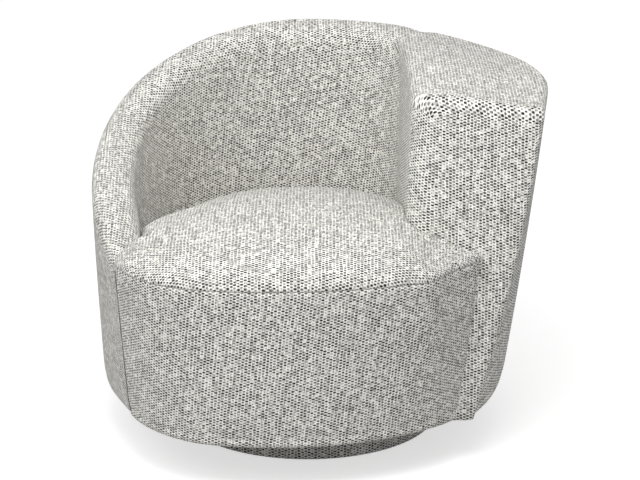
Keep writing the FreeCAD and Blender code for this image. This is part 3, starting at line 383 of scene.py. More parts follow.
# %% One profile, as distances and heights
FACE_STEPS = 22
ARC_STEPS = 9
TOP_STEPS = 7
TOP_CROWN = 2.5
quarter = np.linspace(0, math.pi / 2, ARC_STEPS)


def wall_profile(at):
    inner_edge, outer_edge = edge_sizes(at)
    crest = ridge_height(at)
    inner_end = crest - inner_edge
    lip = lip_height(at)
    near = inner_reach(at, inner_end)
    far = outer_reach(at, lip)
    z_face = np.linspace(FOOT, inner_end, FACE_STEPS)
    d_in = near + inner_edge * (1 - np.cos(quarter))
    z_in = inner_end + inner_edge * np.sin(quarter)
    share = np.linspace(0, 1, TOP_STEPS)[1:-1]
    d_top = mix(near + inner_edge, far - outer_edge, share)
    z_top = mix(crest, lip + outer_edge, smooth(share)) + TOP_CROWN * np.sin(math.pi * share)
    d_out = far - outer_edge * (1 - np.cos(quarter[::-1]))
    z_out = lip + outer_edge * np.sin(quarter[::-1])
    distance = np.concatenate([inner_reach(at, z_face), d_in[1:], d_top, d_out])
    height = np.concatenate([z_face, z_in[1:], z_top, z_out])
    sink = groove(at, height, inner_end)
    on_top = smooth((height - inner_end) / GROOVE_TURN)
    return distance + sink * (1 - on_top), height - sink * on_top


profiles = [wall_profile(at) for at in stations]
PATH = len(profiles[0][0])
print("points on each profile:", PATH)

# %% [markdown]
# ## The wall's points
# Every station places its profile in the room, and the profiles side by side are the wall's grid. Such a
# grid has only four-sided faces in even rows, so it shades smoothly and its lengths are easy to measure.

# %% The wall as a grid
ROLL_START = FACE_STEPS - 1
wall = np.array([at.place(distance, height) for at, (distance, height) in zip(stations, profiles)])
distances = np.array([distance for distance, height in profiles])
lengths = path_length(wall)
middle_line = np.array([at.place(seat_reach(at), SEAM) for at in stations])
along_wall = line_length(middle_line)
side_end = along_wall[-1]
print("length of the wall along its inner face:", round(float(side_end)))

# %% [markdown]
# ## Which way the cloth runs
# On the inner face the columns of the weave stand upright, lean a little along the back, and the rows fall
# a little towards the wing. The rolled top is laid front to back, so along the low arm and over the wing
# the columns run with the roll, and the pattern changes at the roll's edge.

# %% The wall's places in the cloth
ROW_SLANT = 0.12
COLUMN_LEAN = 0.13
LEAN_BEARING = 195
LEAN_ARC = 55
CORNER_RADIUS = 50
CORNER_CLOTH = 78
FACE_MIDDLE = 500
ROLL_ASIDE = 14
ROLL_FORWARD = 817
WALL_WOBBLE = 0.6
WOBBLE_START = FOOT + 20


def slanted(weave):
    fall = ROW_SLANT * (weave[..., 0] - side_end)
    return weave + np.stack([0 * fall, fall], axis=-1)


bearings = np.array([at.bearing for at in stations])
forwards = np.array([at.forward for at in stations])
outward_ways = np.array([at.out for at in stations])
inner_weave = slanted(np.stack(np.broadcast_arrays(along_wall[:, None], FOOT + lengths), axis=-1))
lean = COLUMN_LEAN * (1 - smooth((bearings - LEAN_BEARING) / LEAN_ARC))
inner_weave[..., 0] -= lean[:, None] * lengths
near_wing = distances[-1, ROLL_START]
to_face = wing_face(FACE_MIDDLE) - CORNER_RADIUS - WING_BACK + CORNER_CLOTH
FACE_SHIFT = side_end + to_face - (near_wing + CORNER_RADIUS)
ROLL_SHIFT = (FACE_SHIFT - ROLL_ASIDE, ROLL_FORWARD)
at_roll = slice(ROLL_START, ROLL_START + 1)
unrolled = distances[:, at_roll] + lengths - lengths[:, at_roll]
roll_x = outward_ways[:, :1] * unrolled + ROLL_SHIFT[0]
roll_y = outward_ways[:, 1:] * unrolled - forwards[:, None] + ROLL_SHIFT[1]
roll_weave = np.stack([roll_x, roll_y], axis=-1)
wall[..., 2] += wobble(wall, WALL_WOBBLE) * (wall[..., 2] > WOBBLE_START)
print("the face's cloth is shifted by", round(float(FACE_SHIFT)))

# %% [markdown]
# ## The wing's profile
# The wing ends in a flat upright face. Its inner corner is broad and round, the top softer and the outer
# edge tight, because the padding is thick on the sitter's side and thin outside. The last profile is
# carried down the wing's outer side, so that one ring of points goes round the whole face.

# %% The ring round the wing
LOW_STEPS = 16
CORNER_SIZES = (CORNER_RADIUS, CORNER_RADIUS, 26, 20, 12, 12)
base_d, base_z = profiles[-1]
wing = stations[-1]
lip_z = float(base_z[-1])
down = np.concatenate([np.linspace(lip_z, FOOT, FACE_STEPS)[1:], np.linspace(FOOT, HEM, LOW_STEPS)[1:]])
ring_z = np.concatenate([base_z, down])
ring_d = np.concatenate([base_d, outer_reach(wing, down)])
count = len(ring_z)
first_top = ROLL_START + ARC_STEPS - 1
last_top = PATH - ARC_STEPS
number = np.arange(count)
outward = clamp((number - first_top) / (last_top - first_top))
corner = np.interp(number, [0, ROLL_START, first_top, last_top, PATH - 1, count], CORNER_SIZES)


def wing_distance(forward):
    """The ring further forward: its outer side follows the outer face, its inner side stays."""
    return ring_d + outward * (outer_reach(wing, ring_z, forward) - outer_reach(wing, ring_z, WING_BACK))


edge_forward = wing_face(ring_z) - corner
edge_x = wing_distance(edge_forward)
print("points round the wing:", count)

# %% [markdown]
# ## Where the turned cloth lies on the flat face
# At the end of its turn each point of the ring has moved in from the edge by the corner's size. The same
# ring is therefore placed a second time on the face, side by side with its first place.

# %% The ring on the face
FACE_DROP = 38
FACE_CORNER = 12
FACE_EDGE_IN = 20
FACE_EDGE_WIDE = 8
FACE_EDGE_HIGH = 6
EDGE_FORWARD = 165.0
EDGE_CORNER = CORNER_SIZES[-1]
inner_x = near_wing + CORNER_RADIUS
outer_x = outer_reach(wing, lip_z, EDGE_FORWARD) - FACE_EDGE_IN
face_top_z = WING_TOP - FACE_DROP
face_lip_z = lip_z - EDGE_CORNER
face_x = edge_x.copy()
face_z = ring_z.copy()
sides = slice(0, ROLL_START + 1)
face_x[sides] = ring_d[sides] + CORNER_RADIUS
face_z[sides] = mix(FOOT, face_top_z, (ring_z[sides] - FOOT) / (ring_z[ROLL_START] - FOOT))
face_x[ROLL_START:first_top + 1] = inner_x + FACE_CORNER * (1 - np.cos(quarter))
face_z[ROLL_START:first_top + 1] = face_top_z + FACE_CORNER * np.sin(quarter)
across_top = np.linspace(0, 1, last_top - first_top + 1)
face_x[first_top:last_top + 1] = mix(inner_x + FACE_CORNER, outer_x, across_top)
top_ends = (face_top_z + FACE_CORNER, face_lip_z + FACE_EDGE_HIGH)
face_z[first_top:last_top + 1] = mix(*top_ends, smooth(across_top))
face_x[last_top:PATH] = outer_x + FACE_EDGE_WIDE * np.sin(quarter)
face_z[last_top:PATH] = face_lip_z + FACE_EDGE_HIGH * np.cos(quarter)
face_x[PATH:] = outer_reach(wing, ring_z[PATH:], edge_forward[PATH:]) - EDGE_CORNER
face_z[PATH:] = np.interp(ring_z[PATH:], [HEM, FOOT, lip_z], [HEM, FOOT, face_lip_z])
face_y = -wing_face(face_z)
print("wing face from", round(float(inner_x)), "to", round(float(outer_x)))

# %% [markdown]
# ## Straight rows and turning rows
# The cover first runs straight forward along the wing and then turns through a quarter circle on to the
# face. A bevel modifier could round such an edge, but its width can't change so freely round the ring.

# %% Rows of cloth on the wing
STRAIGHT_ROWS = 7
TURN_ROWS = 10


def wing_rows(chosen):
    rows = []
    for share in np.linspace(0, 1, STRAIGHT_ROWS):
        forward = mix(WING_BACK, edge_forward, share)
        rows.append(np.stack([wing_distance(forward), -forward, ring_z], axis=-1)[chosen])
    return np.array(rows)


def turn_rows(chosen):
    rows = []
    for angle in np.linspace(0, math.pi / 2, TURN_ROWS):
        inward = 1 - math.cos(angle)
        x = mix(edge_x, face_x, inward)
        y = mix(-edge_forward, face_y, math.sin(angle))
        z = mix(ring_z, face_z, inward)
        rows.append(np.stack([x, y, z], axis=-1)[chosen])
    return np.array(rows)


def blend_weave(start, end, rows):
    return np.array([mix(start, end, share) for share in np.linspace(0, 1, rows)])


print("rows on the wing:", STRAIGHT_ROWS, "straight and", TURN_ROWS, "turning")

# %% [markdown]
# ## The wing's patches
# The side, the rolled top and the outer strip each keep their own direction of cloth until the face, where
# one panel takes over. So the wing is made of several patches that share their border points.

# %% Patches of the wall and the wing
OUTER_CLOTH = 19
tops = slice(ROLL_START, PATH)
outer_strip = slice(PATH - 1, count)
face_weave = slanted(np.stack([face_x + FACE_SHIFT, face_z], axis=-1))
side_weave = slanted(np.stack([side_end + edge_forward - WING_BACK, ring_z], axis=-1))
outer_weave = slanted(np.stack([face_x + FACE_SHIFT + OUTER_CLOTH, face_z], axis=-1))
ring_unrolled = np.interp(number, np.arange(PATH), unrolled[-1])
top_weave = np.stack([ring_unrolled + ROLL_SHIFT[0], ROLL_SHIFT[1] - edge_forward], axis=-1)
patches = [(wall[:, sides], inner_weave[:, sides]), (wall[:, tops], roll_weave[:, tops])]
for chosen, start, end in ((sides, inner_weave[-1], side_weave), (tops, roll_weave[-1], top_weave)):
    patches.append((wing_rows(chosen), blend_weave(start[chosen], end[chosen], STRAIGHT_ROWS)))
for chosen, start in ((sides, side_weave), (tops, top_weave), (outer_strip, outer_weave)):
    patches.append((turn_rows(chosen), blend_weave(start[chosen], face_weave[chosen], TURN_ROWS)))
print("patches so far:", len(patches))

# %% [markdown]
# ## The flat face and its hem
# The face is closed by a grid that is blended from its four sides, so it meets the turned cloth point for
# point. A gentle bulge keeps it from looking like a board, and at the foot the cloth turns under the body.

# %% A grid blended from its four sides
FACE_BULGE = 2.5


def filled(left, right, bottom, top):
    up = np.linspace(0, 1, len(left))[:, None, None]
    over = np.linspace(0, 1, len(top))[None, :, None]
    between = mix(left[:, None], right[:, None], over) + mix(bottom[None], top[None], up)
    grid = between - mix(mix(left[0], right[0], over), mix(left[-1], right[-1], over), up)
    grid[..., 1] -= FACE_BULGE * np.sin(math.pi * up[..., 0]) * np.sin(math.pi * over[..., 0])
    return grid


print("the face bulges by", FACE_BULGE, "mm")

# %% The face and its hem
ARC_MIDDLE = ARC_STEPS // 2
STRIP_OVERLAP = 15
HEM_UNDER = ((14, 8), (10, 1), (4, -0.5), (0, 0))
HEM_CLOTH = (-16, 5.3)
top_left = ROLL_START + ARC_MIDDLE
top_right = last_top + ARC_MIDDLE
face_ring = np.stack([face_x, face_y, face_z], axis=-1)
strip_z = np.linspace(HEM, FOOT, LOW_STEPS)[:-1]
strip = np.stack([crease(strip_z) - STRIP_OVERLAP, -wing_face(strip_z), strip_z], axis=-1)
face_left = np.concatenate([strip, face_ring[:top_left + 1]])
face_right = face_ring[top_right:][::-1]
face_top = face_ring[top_left:top_right + 1]
across_face = np.linspace(0, 1, len(face_top))[:, None]
face_bottom = mix(face_left[0], face_right[0], across_face)
face = filled(face_left, face_right, face_bottom, face_top)
face_cloth = slanted(np.stack([face[..., 0] + FACE_SHIFT, face[..., 2]], axis=-1))
hem = np.stack([face_bottom + [0, inset, rise] for inset, rise in HEM_UNDER])
hem_up = HEM + HEM_CLOTH[0] + HEM_CLOTH[1] * np.arange(len(HEM_UNDER))
hem_cloth = slanted(np.stack(np.broadcast_arrays(hem[..., 0] + FACE_SHIFT, hem_up[:, None]), axis=-1))
for grid, cloth in ((face, face_cloth), (hem, hem_cloth)):
    patches.append((grid.transpose(1, 0, 2), cloth.transpose(1, 0, 2)))
print("left side", len(face_left), "points, right side", len(face_right))

# %% [markdown]
# ## The inside cover
# On the real chair these panels would be sewn into one cover, so the patches become one mesh. It also
# stands for the foam below it and for the frame's plain pad on the wing.

# %% The inside cover's mesh
inside_stands_for = ("inside_cover", "wall_foam", "wing_front_pad")
inside_cover = cloth_piece("inside_cover_fabric", patches, inside_stands_for)
print("points before they are joined:", sum(points.shape[0] * points.shape[1] for points, weave in patches))

# %% [markdown]
# ## The outside cover
# A single panel wraps the outside from the seam at the low corner round the back to the wing's front edge.
# It is nearly smooth, with a soft roll under at the hem and a shallow groove where it meets the roll above.
# Each row holds how far the cloth stands in from the outer face, so the groove and the hem are short lists.

# %% Profile of the outside cover
HEM_ROLL = [(14, 8), (11.5, 2.5), (7, 0.3), (3, 1.6), (1, 5), (0.2, 10)]
SEAM_FOLD = [(9, 1.5), (3.2, 1.2), (0.9, 2.4)]
OUTSIDE_STEPS = 26
PANEL_START = 5
HEM_ROLL_TOP = 14
HEM_TUCK = 4.5
HEM_TUCK_TOP = 120
HEM_TUCK_RUN = 40


def hem_tuck(height):
    """The cover is pulled in towards its hem."""
    return HEM_TUCK * clamp((HEM_TUCK_TOP - height) / HEM_TUCK_RUN) ** 2


def outside_profile(at):
    lip = lip_height(at)
    fold = [lip - drop for inset, drop in SEAM_FOLD]
    panel = np.linspace(lip - PANEL_START, HEM + HEM_ROLL_TOP, OUTSIDE_STEPS)
    height = np.concatenate([fold, panel, [HEM + rise for inset, rise in HEM_ROLL[::-1]]])
    fold_in = [inset for inset, drop in SEAM_FOLD]
    hem_in = [inset for inset, rise in HEM_ROLL[::-1]]
    inset = np.concatenate([fold_in, np.zeros(OUTSIDE_STEPS), hem_in])
    return inset + hem_tuck(height), height


print("points on each row of the outside:", len(outside_profile(back)[0]))

# %% [markdown]
# ## The outside cover's last rows
# The panel ends in a straight edge beside the wing's face, which leans back. The last three rows are
# therefore not upright cuts: each goes a share of the way from the last station to that leaning edge.

# %% The outside cover's grid
LAST_ROWS = (144, 150, 156)
LAST_RUN = 18
FACE_GAP = 12.5


def outside_row(at):
    inset, height = outside_profile(at)
    level = np.maximum(height, HEM)
    if at.forward <= WING_BACK:
        return at.place(outer_reach(at, level) - inset, height)
    forward = mix(WING_BACK, wing_face(height) - FACE_GAP, (at.forward - WING_BACK) / LAST_RUN)
    return np.stack([outer_reach(at, level, forward) - inset, -forward, height], axis=-1)


outside = np.array([outside_row(at) for at in stations + [Station(forward=step) for step in LAST_ROWS]])
along_outside = line_length(outside[:, OUTSIDE_STEPS // 2])
outside_weave = np.stack(np.broadcast_arrays(along_outside[:, None], -path_length(outside)), axis=-1)
outside_stands_for = ("outside_cover", "outside_wadding")
outside_patch = (outside, outside_weave)
outside_cover = cloth_piece("outside_cover_fabric", [outside_patch], outside_stands_for)
print("length of the outside panel:", round(float(along_outside[-1])))

# %% [markdown]
# ## The front border's outline
# Below the seat a plain panel bends round the front: from the nose, across a long shallow arc, round the
# corner and along a short straight run into the crease beside the wing. Each arc is given by its two ends
# and a point between, because those can be read off the object, while a circle's middle can't.

# %% Arcs


def arc_through(a, middle, b, steps):
    """Points of the circle through three places, in order."""
    ax, ay = a
    bx, by = b
    cx, cy = middle
    d = 2 * (ax * (by - cy) + bx * (cy - ay) + cx * (ay - by))
    ux = ((ax**2 + ay**2) * (by - cy) + (bx**2 + by**2) * (cy - ay) + (cx**2 + cy**2) * (ay - by)) / d
    uy = ((ax**2 + ay**2) * (cx - bx) + (bx**2 + by**2) * (ax - cx) + (cx**2 + cy**2) * (bx - ax)) / d
    radius = math.hypot(ax - ux, ay - uy)
    start, through, end = (math.atan2(p[1] - uy, p[0] - ux) for p in (a, middle, b))
    turn = (end - start) % (2 * math.pi)
    if (through - start) % (2 * math.pi) > turn:
        turn -= 2 * math.pi
    angles = start + np.linspace(0, turn, steps)
    return np.stack([ux + radius * np.cos(angles), uy + radius * np.sin(angles)], axis=-1)


def bulged(a, b, height):
    """The place half way between two others, moved away from the chair's middle."""
    middle = (np.array(a) + np.array(b)) / 2
    run = np.array(b) - np.array(a)
    out = np.array([run[1], -run[0]]) / np.linalg.norm(run)
    return middle + height * (out if out @ middle > 0 else -out)


print("half way round a half circle:", np.round(arc_through((1, 0), (0, 1), (-1, 0), 3)[1], 3))

# %% The front's outline at a height
FRONT_STEPS = (40, 90, 20, 26)
NOSE_OVERLAP = 0.08
FRONT_RADIUS = (459, 671)
FRONT_CENTRE_X = (-54, -59)
FRONT_REACH = (378, 393)
FRONT_ENDS = (-185, 0, 178)
CORNER_X = 237
CORNER_REACH = (273, 298)
NOSE_BULGE = (17, 27)
CORNER_BULGE = (1.5, 12)
nose_start = Station(NOSE_BEARING - NOSE_OVERLAP)


def front_line(height):
    share = clamp((height - HEM) / (SEAM - HEM))
    nose = nose_start.place(outer_reach(nose_start, height), height)[:2]
    radius = mix(*FRONT_RADIUS, share)
    centre_x = mix(*FRONT_CENTRE_X, share)
    centre_y = radius - mix(*FRONT_REACH, share)
    arc = [(x, centre_y - math.sqrt(radius**2 - (x - centre_x) ** 2)) for x in FRONT_ENDS]
    left, middle, right = arc
    turn = (CORNER_X, -mix(*CORNER_REACH, share))
    end = (crease(height), -wing_face(height))
    round_nose = arc_through(nose, bulged(nose, left, mix(*NOSE_BULGE, share)), left, FRONT_STEPS[0])
    long_arc = arc_through(left, middle, right, FRONT_STEPS[1])
    round_turn = arc_through(right, bulged(right, turn, mix(*CORNER_BULGE, share)), turn, FRONT_STEPS[2])
    straight = np.linspace(turn, end, FRONT_STEPS[3])
    return np.concatenate([round_nose, long_arc[1:], round_turn[1:], straight[1:]])


print("points on the front's outline:", len(front_line(SEAM)))

# %% [markdown]
# ## Softening the outline
# Foam rounds every corner. Blurring a line along its length does the same: a bell-shaped weight takes each
# point towards its neighbours, and the ends are mirrored first so that they stay in place. The nose's end
# is blurred less, because the border is sewn to the wall there.

# %% Even, soft and offset lines
BLUR_REACH = 24


def even(points, number):
    """The line again with its points at even steps, and its length."""
    lengths = line_length(points)
    at = np.linspace(0, lengths[-1], number)
    return np.stack([np.interp(at, lengths, points[:, axis]) for axis in range(2)], axis=-1), lengths[-1]


def soft_line(points, spread):
    """The line blurred along its length; the spread is in steps of the line."""
    weights = np.exp(-0.5 * (np.arange(-BLUR_REACH, BLUR_REACH + 1) / spread) ** 2)
    weights /= weights.sum()
    before = 2 * points[0] - points[BLUR_REACH:0:-1]
    after = 2 * points[-1] - points[-2:-BLUR_REACH - 2:-1]
    longer = np.concatenate([before, points, after])
    return np.stack([np.convolve(longer[:, axis], weights, "valid") for axis in range(2)], axis=-1)


def offset(points, inset):
    """The line moved to its left by an inset."""
    run = np.gradient(points, axis=0)
    run /= np.linalg.norm(run, axis=1, keepdims=True)
    return points + inset * np.stack([-run[:, 1], run[:, 0]], axis=-1)


print("length of the front at the seam:", round(float(even(front_line(SEAM), 10)[1])))

# %% [markdown]
# ## One row of the border
# A row is the softened outline at one height. It starts behind the nose and ends inside the crease, because
# the real panel is sewn in there and its raw edges never show.

# %% A row at a height
FRONT_COLUMNS = 220
NOSE_TUCK = 12
CREASE_TUCK = 26.0
FOAM_BLUR = 13
SEWN_BLUR = 2.2
SEWN_END = 8
SEWN_RUN = 60


def front_row(height, inset):
    line = front_line(min(height, SEAM))
    first = line[0] - np.array(nose_start.out) * NOSE_TUCK
    last = line[-1] + np.array([0.0, CREASE_TUCK])
    row, length = even(np.concatenate([first[None], line, last[None]]), FRONT_COLUMNS)
    step = length / FRONT_COLUMNS
    share = smooth((np.arange(FRONT_COLUMNS) * step - SEWN_END) / SEWN_RUN)[:, None]
    row = mix(soft_line(row, SEWN_BLUR / step), soft_line(row, FOAM_BLUR / step), share)
    return offset(row, inset)


print("columns across the front:", FRONT_COLUMNS)

# %% [markdown]
# ## The front border
# From the hem the panel goes up to the seam below the cushion and folds in under it. Each height is one row
# of the softened outline; a slight swell in the middle and the stuffing's unevenness are added at the end.

# %% The border's grid
BORDER_STEPS = 24
BORDER_END = 10
BORDER_WOBBLE = 0.8
BORDER_FOLD = ((0.0, 5), (0.5, 2.4), (1.8, 0.7), (4, 0.1), (9, 1), (16, 8))
BORDER_SWELL = 3.0
SWELL_X = -30
SWELL_WIDTH = 260
WEAVE_MIDDLE_X = -20
MIDDLE_ROW = 12


def sewn_row(height, inset):
    line = front_row(height, inset)
    return np.concatenate([line, np.full((len(line), 1), height)], axis=1)


border_path = [(inset, HEM + rise) for inset, rise in HEM_ROLL]
border_path += [(hem_tuck(z), z) for z in np.linspace(HEM + HEM_ROLL_TOP, SEAM - BORDER_END, BORDER_STEPS)]
border_path += [(inset, SEAM - drop) for inset, drop in BORDER_FOLD]
border = np.array([sewn_row(height, inset) for inset, height in border_path])
border_lengths = path_length(border)
middle_column = int(np.argmin(np.abs(border[MIDDLE_ROW, :, 0] - WEAVE_MIDDLE_X)))
border_u = border_lengths - border_lengths[:, middle_column:middle_column + 1]
border_weave = np.stack(np.broadcast_arrays(border_u, line_length(np.array(border_path))[:, None]), axis=-1)
swell = BORDER_SWELL * np.sin(math.pi * clamp((border[..., 2] - HEM) / (SEAM - HEM)))
swell = swell * np.exp(-(((border[..., 0] - SWELL_X) / SWELL_WIDTH) ** 2))
border[..., 1] -= swell + wobble(border, BORDER_WOBBLE)
border_patch = (border.transpose(1, 0, 2), border_weave.transpose(1, 0, 2))
front_border = cloth_piece("front_border_fabric", [border_patch], ("front_cover", "front_foam"))
print("height of the border along its cloth:", round(float(border_weave[-1, 0, 1])))

# %% [markdown]
# ## The seat cushion's rim
# The cushion fills the bucket. Its rim follows the front's outline, then the wing's inner side, the tight
# arc and the round wall, a millimetre short of each. Spokes run from one middle point to the rim, because a
# dome is easiest to describe by how far along its spoke a place lies.

# %% Outline of the cushion
CUSHION_MIDDLE = np.array([-20.0, -70.0])
CUSHION_GAP = 1.0
RIM_COLUMNS = 260
FRONT_POINTS = 150
RIM_BLUR = 12
VALLEY_TURN = 70.5
VALLEY_STEPS = 20
FIRST_SPOKE = 199
SPOKE_STEP = 1.5


def seat_outline(number):
    front, length = even(front_line(SEAM), FRONT_POINTS)
    front = soft_line(front, RIM_BLUR / (length / FRONT_POINTS))
    wing_side = np.array([[WING_INNER_X - CUSHION_GAP, VALLEY_Y]])
    turn = np.radians(np.linspace(0, VALLEY_TURN, VALLEY_STEPS))[1:]
    valley = np.stack([VALLEY_X + (VALLEY_RADIUS - CUSHION_GAP) * np.cos(turn),
                       VALLEY_Y + (VALLEY_RADIUS - CUSHION_GAP) * np.sin(turn)], axis=-1)
    spokes = [Station(bearing) for bearing in np.arange(FIRST_SPOKE, NOSE_BEARING, -SPOKE_STEP)]
    wall_side = np.array([at.place(seat_reach(at) - CUSHION_GAP, 0)[:2] for at in spokes])
    return even(np.concatenate([front, wing_side, valley, wall_side, front[:1]]), number)[0]


outline = seat_outline(RIM_COLUMNS + 1)
arms = outline - CUSHION_MIDDLE
arm_angles = np.unwrap(np.arctan2(arms[:, 1], arms[:, 0]))
arm_lengths = np.linalg.norm(arms, axis=1)
print("ways to the rim:", round(float(arm_lengths.min())), "to", round(float(arm_lengths.max())))

# %% [markdown]
# ## The cushion's dome
# A filled seat is flat on top and steep at its rim, which the square root of a power gives. Towards the
# back it sinks away, so a second surface slopes down from the front and falls at both sides. The lower of
# the two counts, and a soft minimum leaves no fold where they meet.

# %% The slope to the back
LOW = 290
CUSHION_RISE = 82
SLOPE_CLEAR = 1
SLOPE_CREST_Y = -150
SLOPE_RADIUS = 800
SIDE_FALL = 95
SIDE_MIDDLE_X = -10
SIDE_HALF = 290
SIDE_POWER = 2.5
SIDE_START_Y = -200
SIDE_RUN = 220
LOWEST_TOP = LOW + 14


def slope_height(x, y):
    crest = SEAM + CUSHION_RISE + SLOPE_CLEAR - (y - SLOPE_CREST_Y) ** 2 / (2 * SLOPE_RADIUS)
    aside = (np.abs(x - SIDE_MIDDLE_X) / SIDE_HALF) ** SIDE_POWER
    return np.maximum(crest - SIDE_FALL * aside * smooth((y - SIDE_START_Y) / SIDE_RUN), LOWEST_TOP)


print("slope at the front and the back:", [round(float(slope_height(0, y))) for y in (-150, 250)])

# %% The dome
DOME_POWER = 2.2
SOFTNESS = 6.0
WING_DIP = 12
DIP_X = (150, 80)
DIP_FORWARD = (60, 80)
DIP_RIM = 0.93


def rim_distance(dx, dy):
    """How far the rim is from the middle in this direction."""
    angle = arm_angles[0] + (np.arctan2(dy, dx) - arm_angles[0]) % (2 * math.pi)
    return np.interp(angle, arm_angles, arm_lengths)


def dome(x, y):
    dx = x - CUSHION_MIDDLE[0]
    dy = y - CUSHION_MIDDLE[1]
    share = clamp(np.hypot(dx, dy) / rim_distance(dx, dy))
    height = SEAM + CUSHION_RISE * np.sqrt(1 - share**DOME_POWER)
    beside_wing = smooth((x - DIP_X[0]) / DIP_X[1]) * smooth((-y - DIP_FORWARD[0]) / DIP_FORWARD[1])
    height = height - WING_DIP * beside_wing * (1 - smooth((share - DIP_RIM) / (1 - DIP_RIM)))
    return -SOFTNESS * np.logaddexp(-height / SOFTNESS, -slope_height(x, y) / SOFTNESS)


print("height of the cushion at its middle:", round(float(dome(*CUSHION_MIDDLE))))

# %% [markdown]
# ## Keeping clear of the wing
# The wing stands in the cushion's way with a round corner. Points that fall inside it are pushed out to the
# nearest place on its surface. A boolean would cut a hard edge there instead of pressing the cloth aside.

# %% Points pushed out of the wing
WING_GAP = 1


def kept_off_wing(points):
    x, y, z = (points[..., axis] for axis in range(3))
    side = WING_INNER_X - WING_GAP + INNER_LEAN * np.maximum(0, (z - SEAM) / (RIDGE - SEAM))
    front = -wing_face(z) - WING_GAP
    centre_x = side + CORNER_RADIUS
    centre_y = front + CORNER_RADIUS
    inside = (x > side) & (y > front)
    in_corner = inside & (x < centre_x) & (y < centre_y)
    away = np.hypot(x - centre_x, y - centre_y)
    pressed = in_corner & (away < CORNER_RADIUS)
    scale = np.where(pressed, CORNER_RADIUS / np.maximum(away, 1), 1)
    beside = inside & ~in_corner & (x - side < y - front)
    before = inside & ~in_corner & ~(x - side < y - front)
    x_new = np.where(pressed, centre_x + (x - centre_x) * scale, np.where(beside, side, x))
    y_new = np.where(pressed, centre_y + (y - centre_y) * scale, np.where(before, front, y))
    return np.stack([x_new, y_new, z], axis=-1)


print("a point in the wing moves to", np.round(kept_off_wing(np.array([175.0, 0.0, 400.0])), 1))

# %% [markdown]
# ## The cloth on the cushion
# Fabric laid over a dome is longer than its plan. So lengths are measured along the surface, from the
# middle out to each place. With the plan's own lengths the weave would be drawn out where the dome is steep.

# %% Places in the cushion's cloth
LENGTH_STEPS = 41


def cloth_place(x, y):
    steps = np.linspace(0, 1, LENGTH_STEPS)[:, None, None]
    px = mix(CUSHION_MIDDLE[0], x[None], steps)
    py = mix(CUSHION_MIDDLE[1], y[None], steps)
    rise_x = np.diff(dome(px, y[None] + 0 * px), axis=0)
    rise_y = np.diff(dome(x[None] + 0 * py, py), axis=0)
    u = np.sum(np.hypot(np.diff(px, axis=0), rise_x), axis=0)
    v = np.sum(np.hypot(np.diff(py, axis=0), rise_y), axis=0)
    return np.stack([u * np.sign(x - CUSHION_MIDDLE[0]), v * np.sign(y - CUSHION_MIDDLE[1])], axis=-1)


print("steps along each measured line:", LENGTH_STEPS)

# %% [markdown]
# ## The cushion's rings
# Rings that shrink towards the middle make the top, closer together near the rim where it is steep. Below
# the rim a few more rings fold the cloth under to the seam, and two more close the cushion underneath.

# %% Rings of the top
TOP_RINGS = 46
RING_GROWTH = 1.6
LAST_RING = 0.9967
ring_shares = LAST_RING * (1 - (1 - np.linspace(0, 1, TOP_RINGS)) ** RING_GROWTH)
plan = CUSHION_MIDDLE + ring_shares[:, None, None] * arms[None]
cushion_top = np.concatenate([plan, dome(plan[..., 0], plan[..., 1])[..., None]], axis=-1)
top_cloth = cloth_place(plan[..., 0], plan[..., 1])
print("highest point of the cushion:", round(float(cushion_top[..., 2].max()), 1))

# %% [markdown]
# ## Under the rim
# At the seam the cushion's cloth turns under, so the rim looks rolled and not cut. Where the cushion sinks
# below the seam at the back, these rings sink with it.

# %% Rings under the rim
UNDER_FOLD = ((0.5, 4.5), (1.4, 2.2), (3.2, 0.9), (9, -1), (14, -6))
UNDER_CLOTH = (3, 3, 3, 6, 7, 60, 200)
RIM_DROP = 2
rim_level = dome(outline[:, 0], outline[:, 1]) - RIM_DROP
under = []
for inset, rise in UNDER_FOLD:
    ring = offset(outline, inset)
    meeting = (ring[0] + ring[-1]) / 2
    ring[[0, -1]] = meeting
    level = np.minimum(SEAM + rise, rim_level + rise)
    under.append(np.concatenate([ring, level[:, None]], axis=1))
foot_ring = under[-1].copy()
foot_ring[:, 2] = LOW
middle_under = np.array([[*CUSHION_MIDDLE, LOW]]) + 0 * foot_ring
under = np.array(under + [foot_ring, middle_under])
rim_cloth = top_cloth[-1]
outward_cloth = rim_cloth / np.linalg.norm(rim_cloth, axis=1, keepdims=True)
under_cloth = rim_cloth[None] + outward_cloth[None] * np.cumsum(UNDER_CLOTH)[:, None, None]
print("rings under the rim:", len(under))

# %% [markdown]
# ## The cushion's mesh
# Top and underside are one grid from the middle out over the rim to the middle again. It stands for the
# frame's plain cushion, cover and foam together.

# %% The cushion
cushion_points = kept_off_wing(np.concatenate([cushion_top, under]))
cushion_patch = (cushion_points, np.concatenate([top_cloth, under_cloth]))
cushion = cloth_piece("seat_cushion_fabric", [cushion_patch], ("seat_cover", "seat_foam"))
cushion_size = np.ptp(cushion_points.reshape(-1, 3), axis=0)
print("size of the cushion:", [round(float(size)) for size in cushion_size])

# %% [markdown]
# ## Stuffing the cushion
# A tight cover over foam swells between its seams, and no formula gives quite that swell. So a plain grid
# is laid over the dome, held at the rim and blown out from below as cloth for twenty frames. The cushion
# then takes over how far each place moved, kept to a few millimetres so that the outline stays measured.
# Running the cushion itself as cloth would also work, but its dense rim would take far longer.

# %% A plain grid over the dome
GRID = 13.0
GRID_X = (-330, 331)
GRID_Y = (-400, 321)
GRID_RIM = 0.985
WING_MARGIN = 8
WING_FORWARD = 222


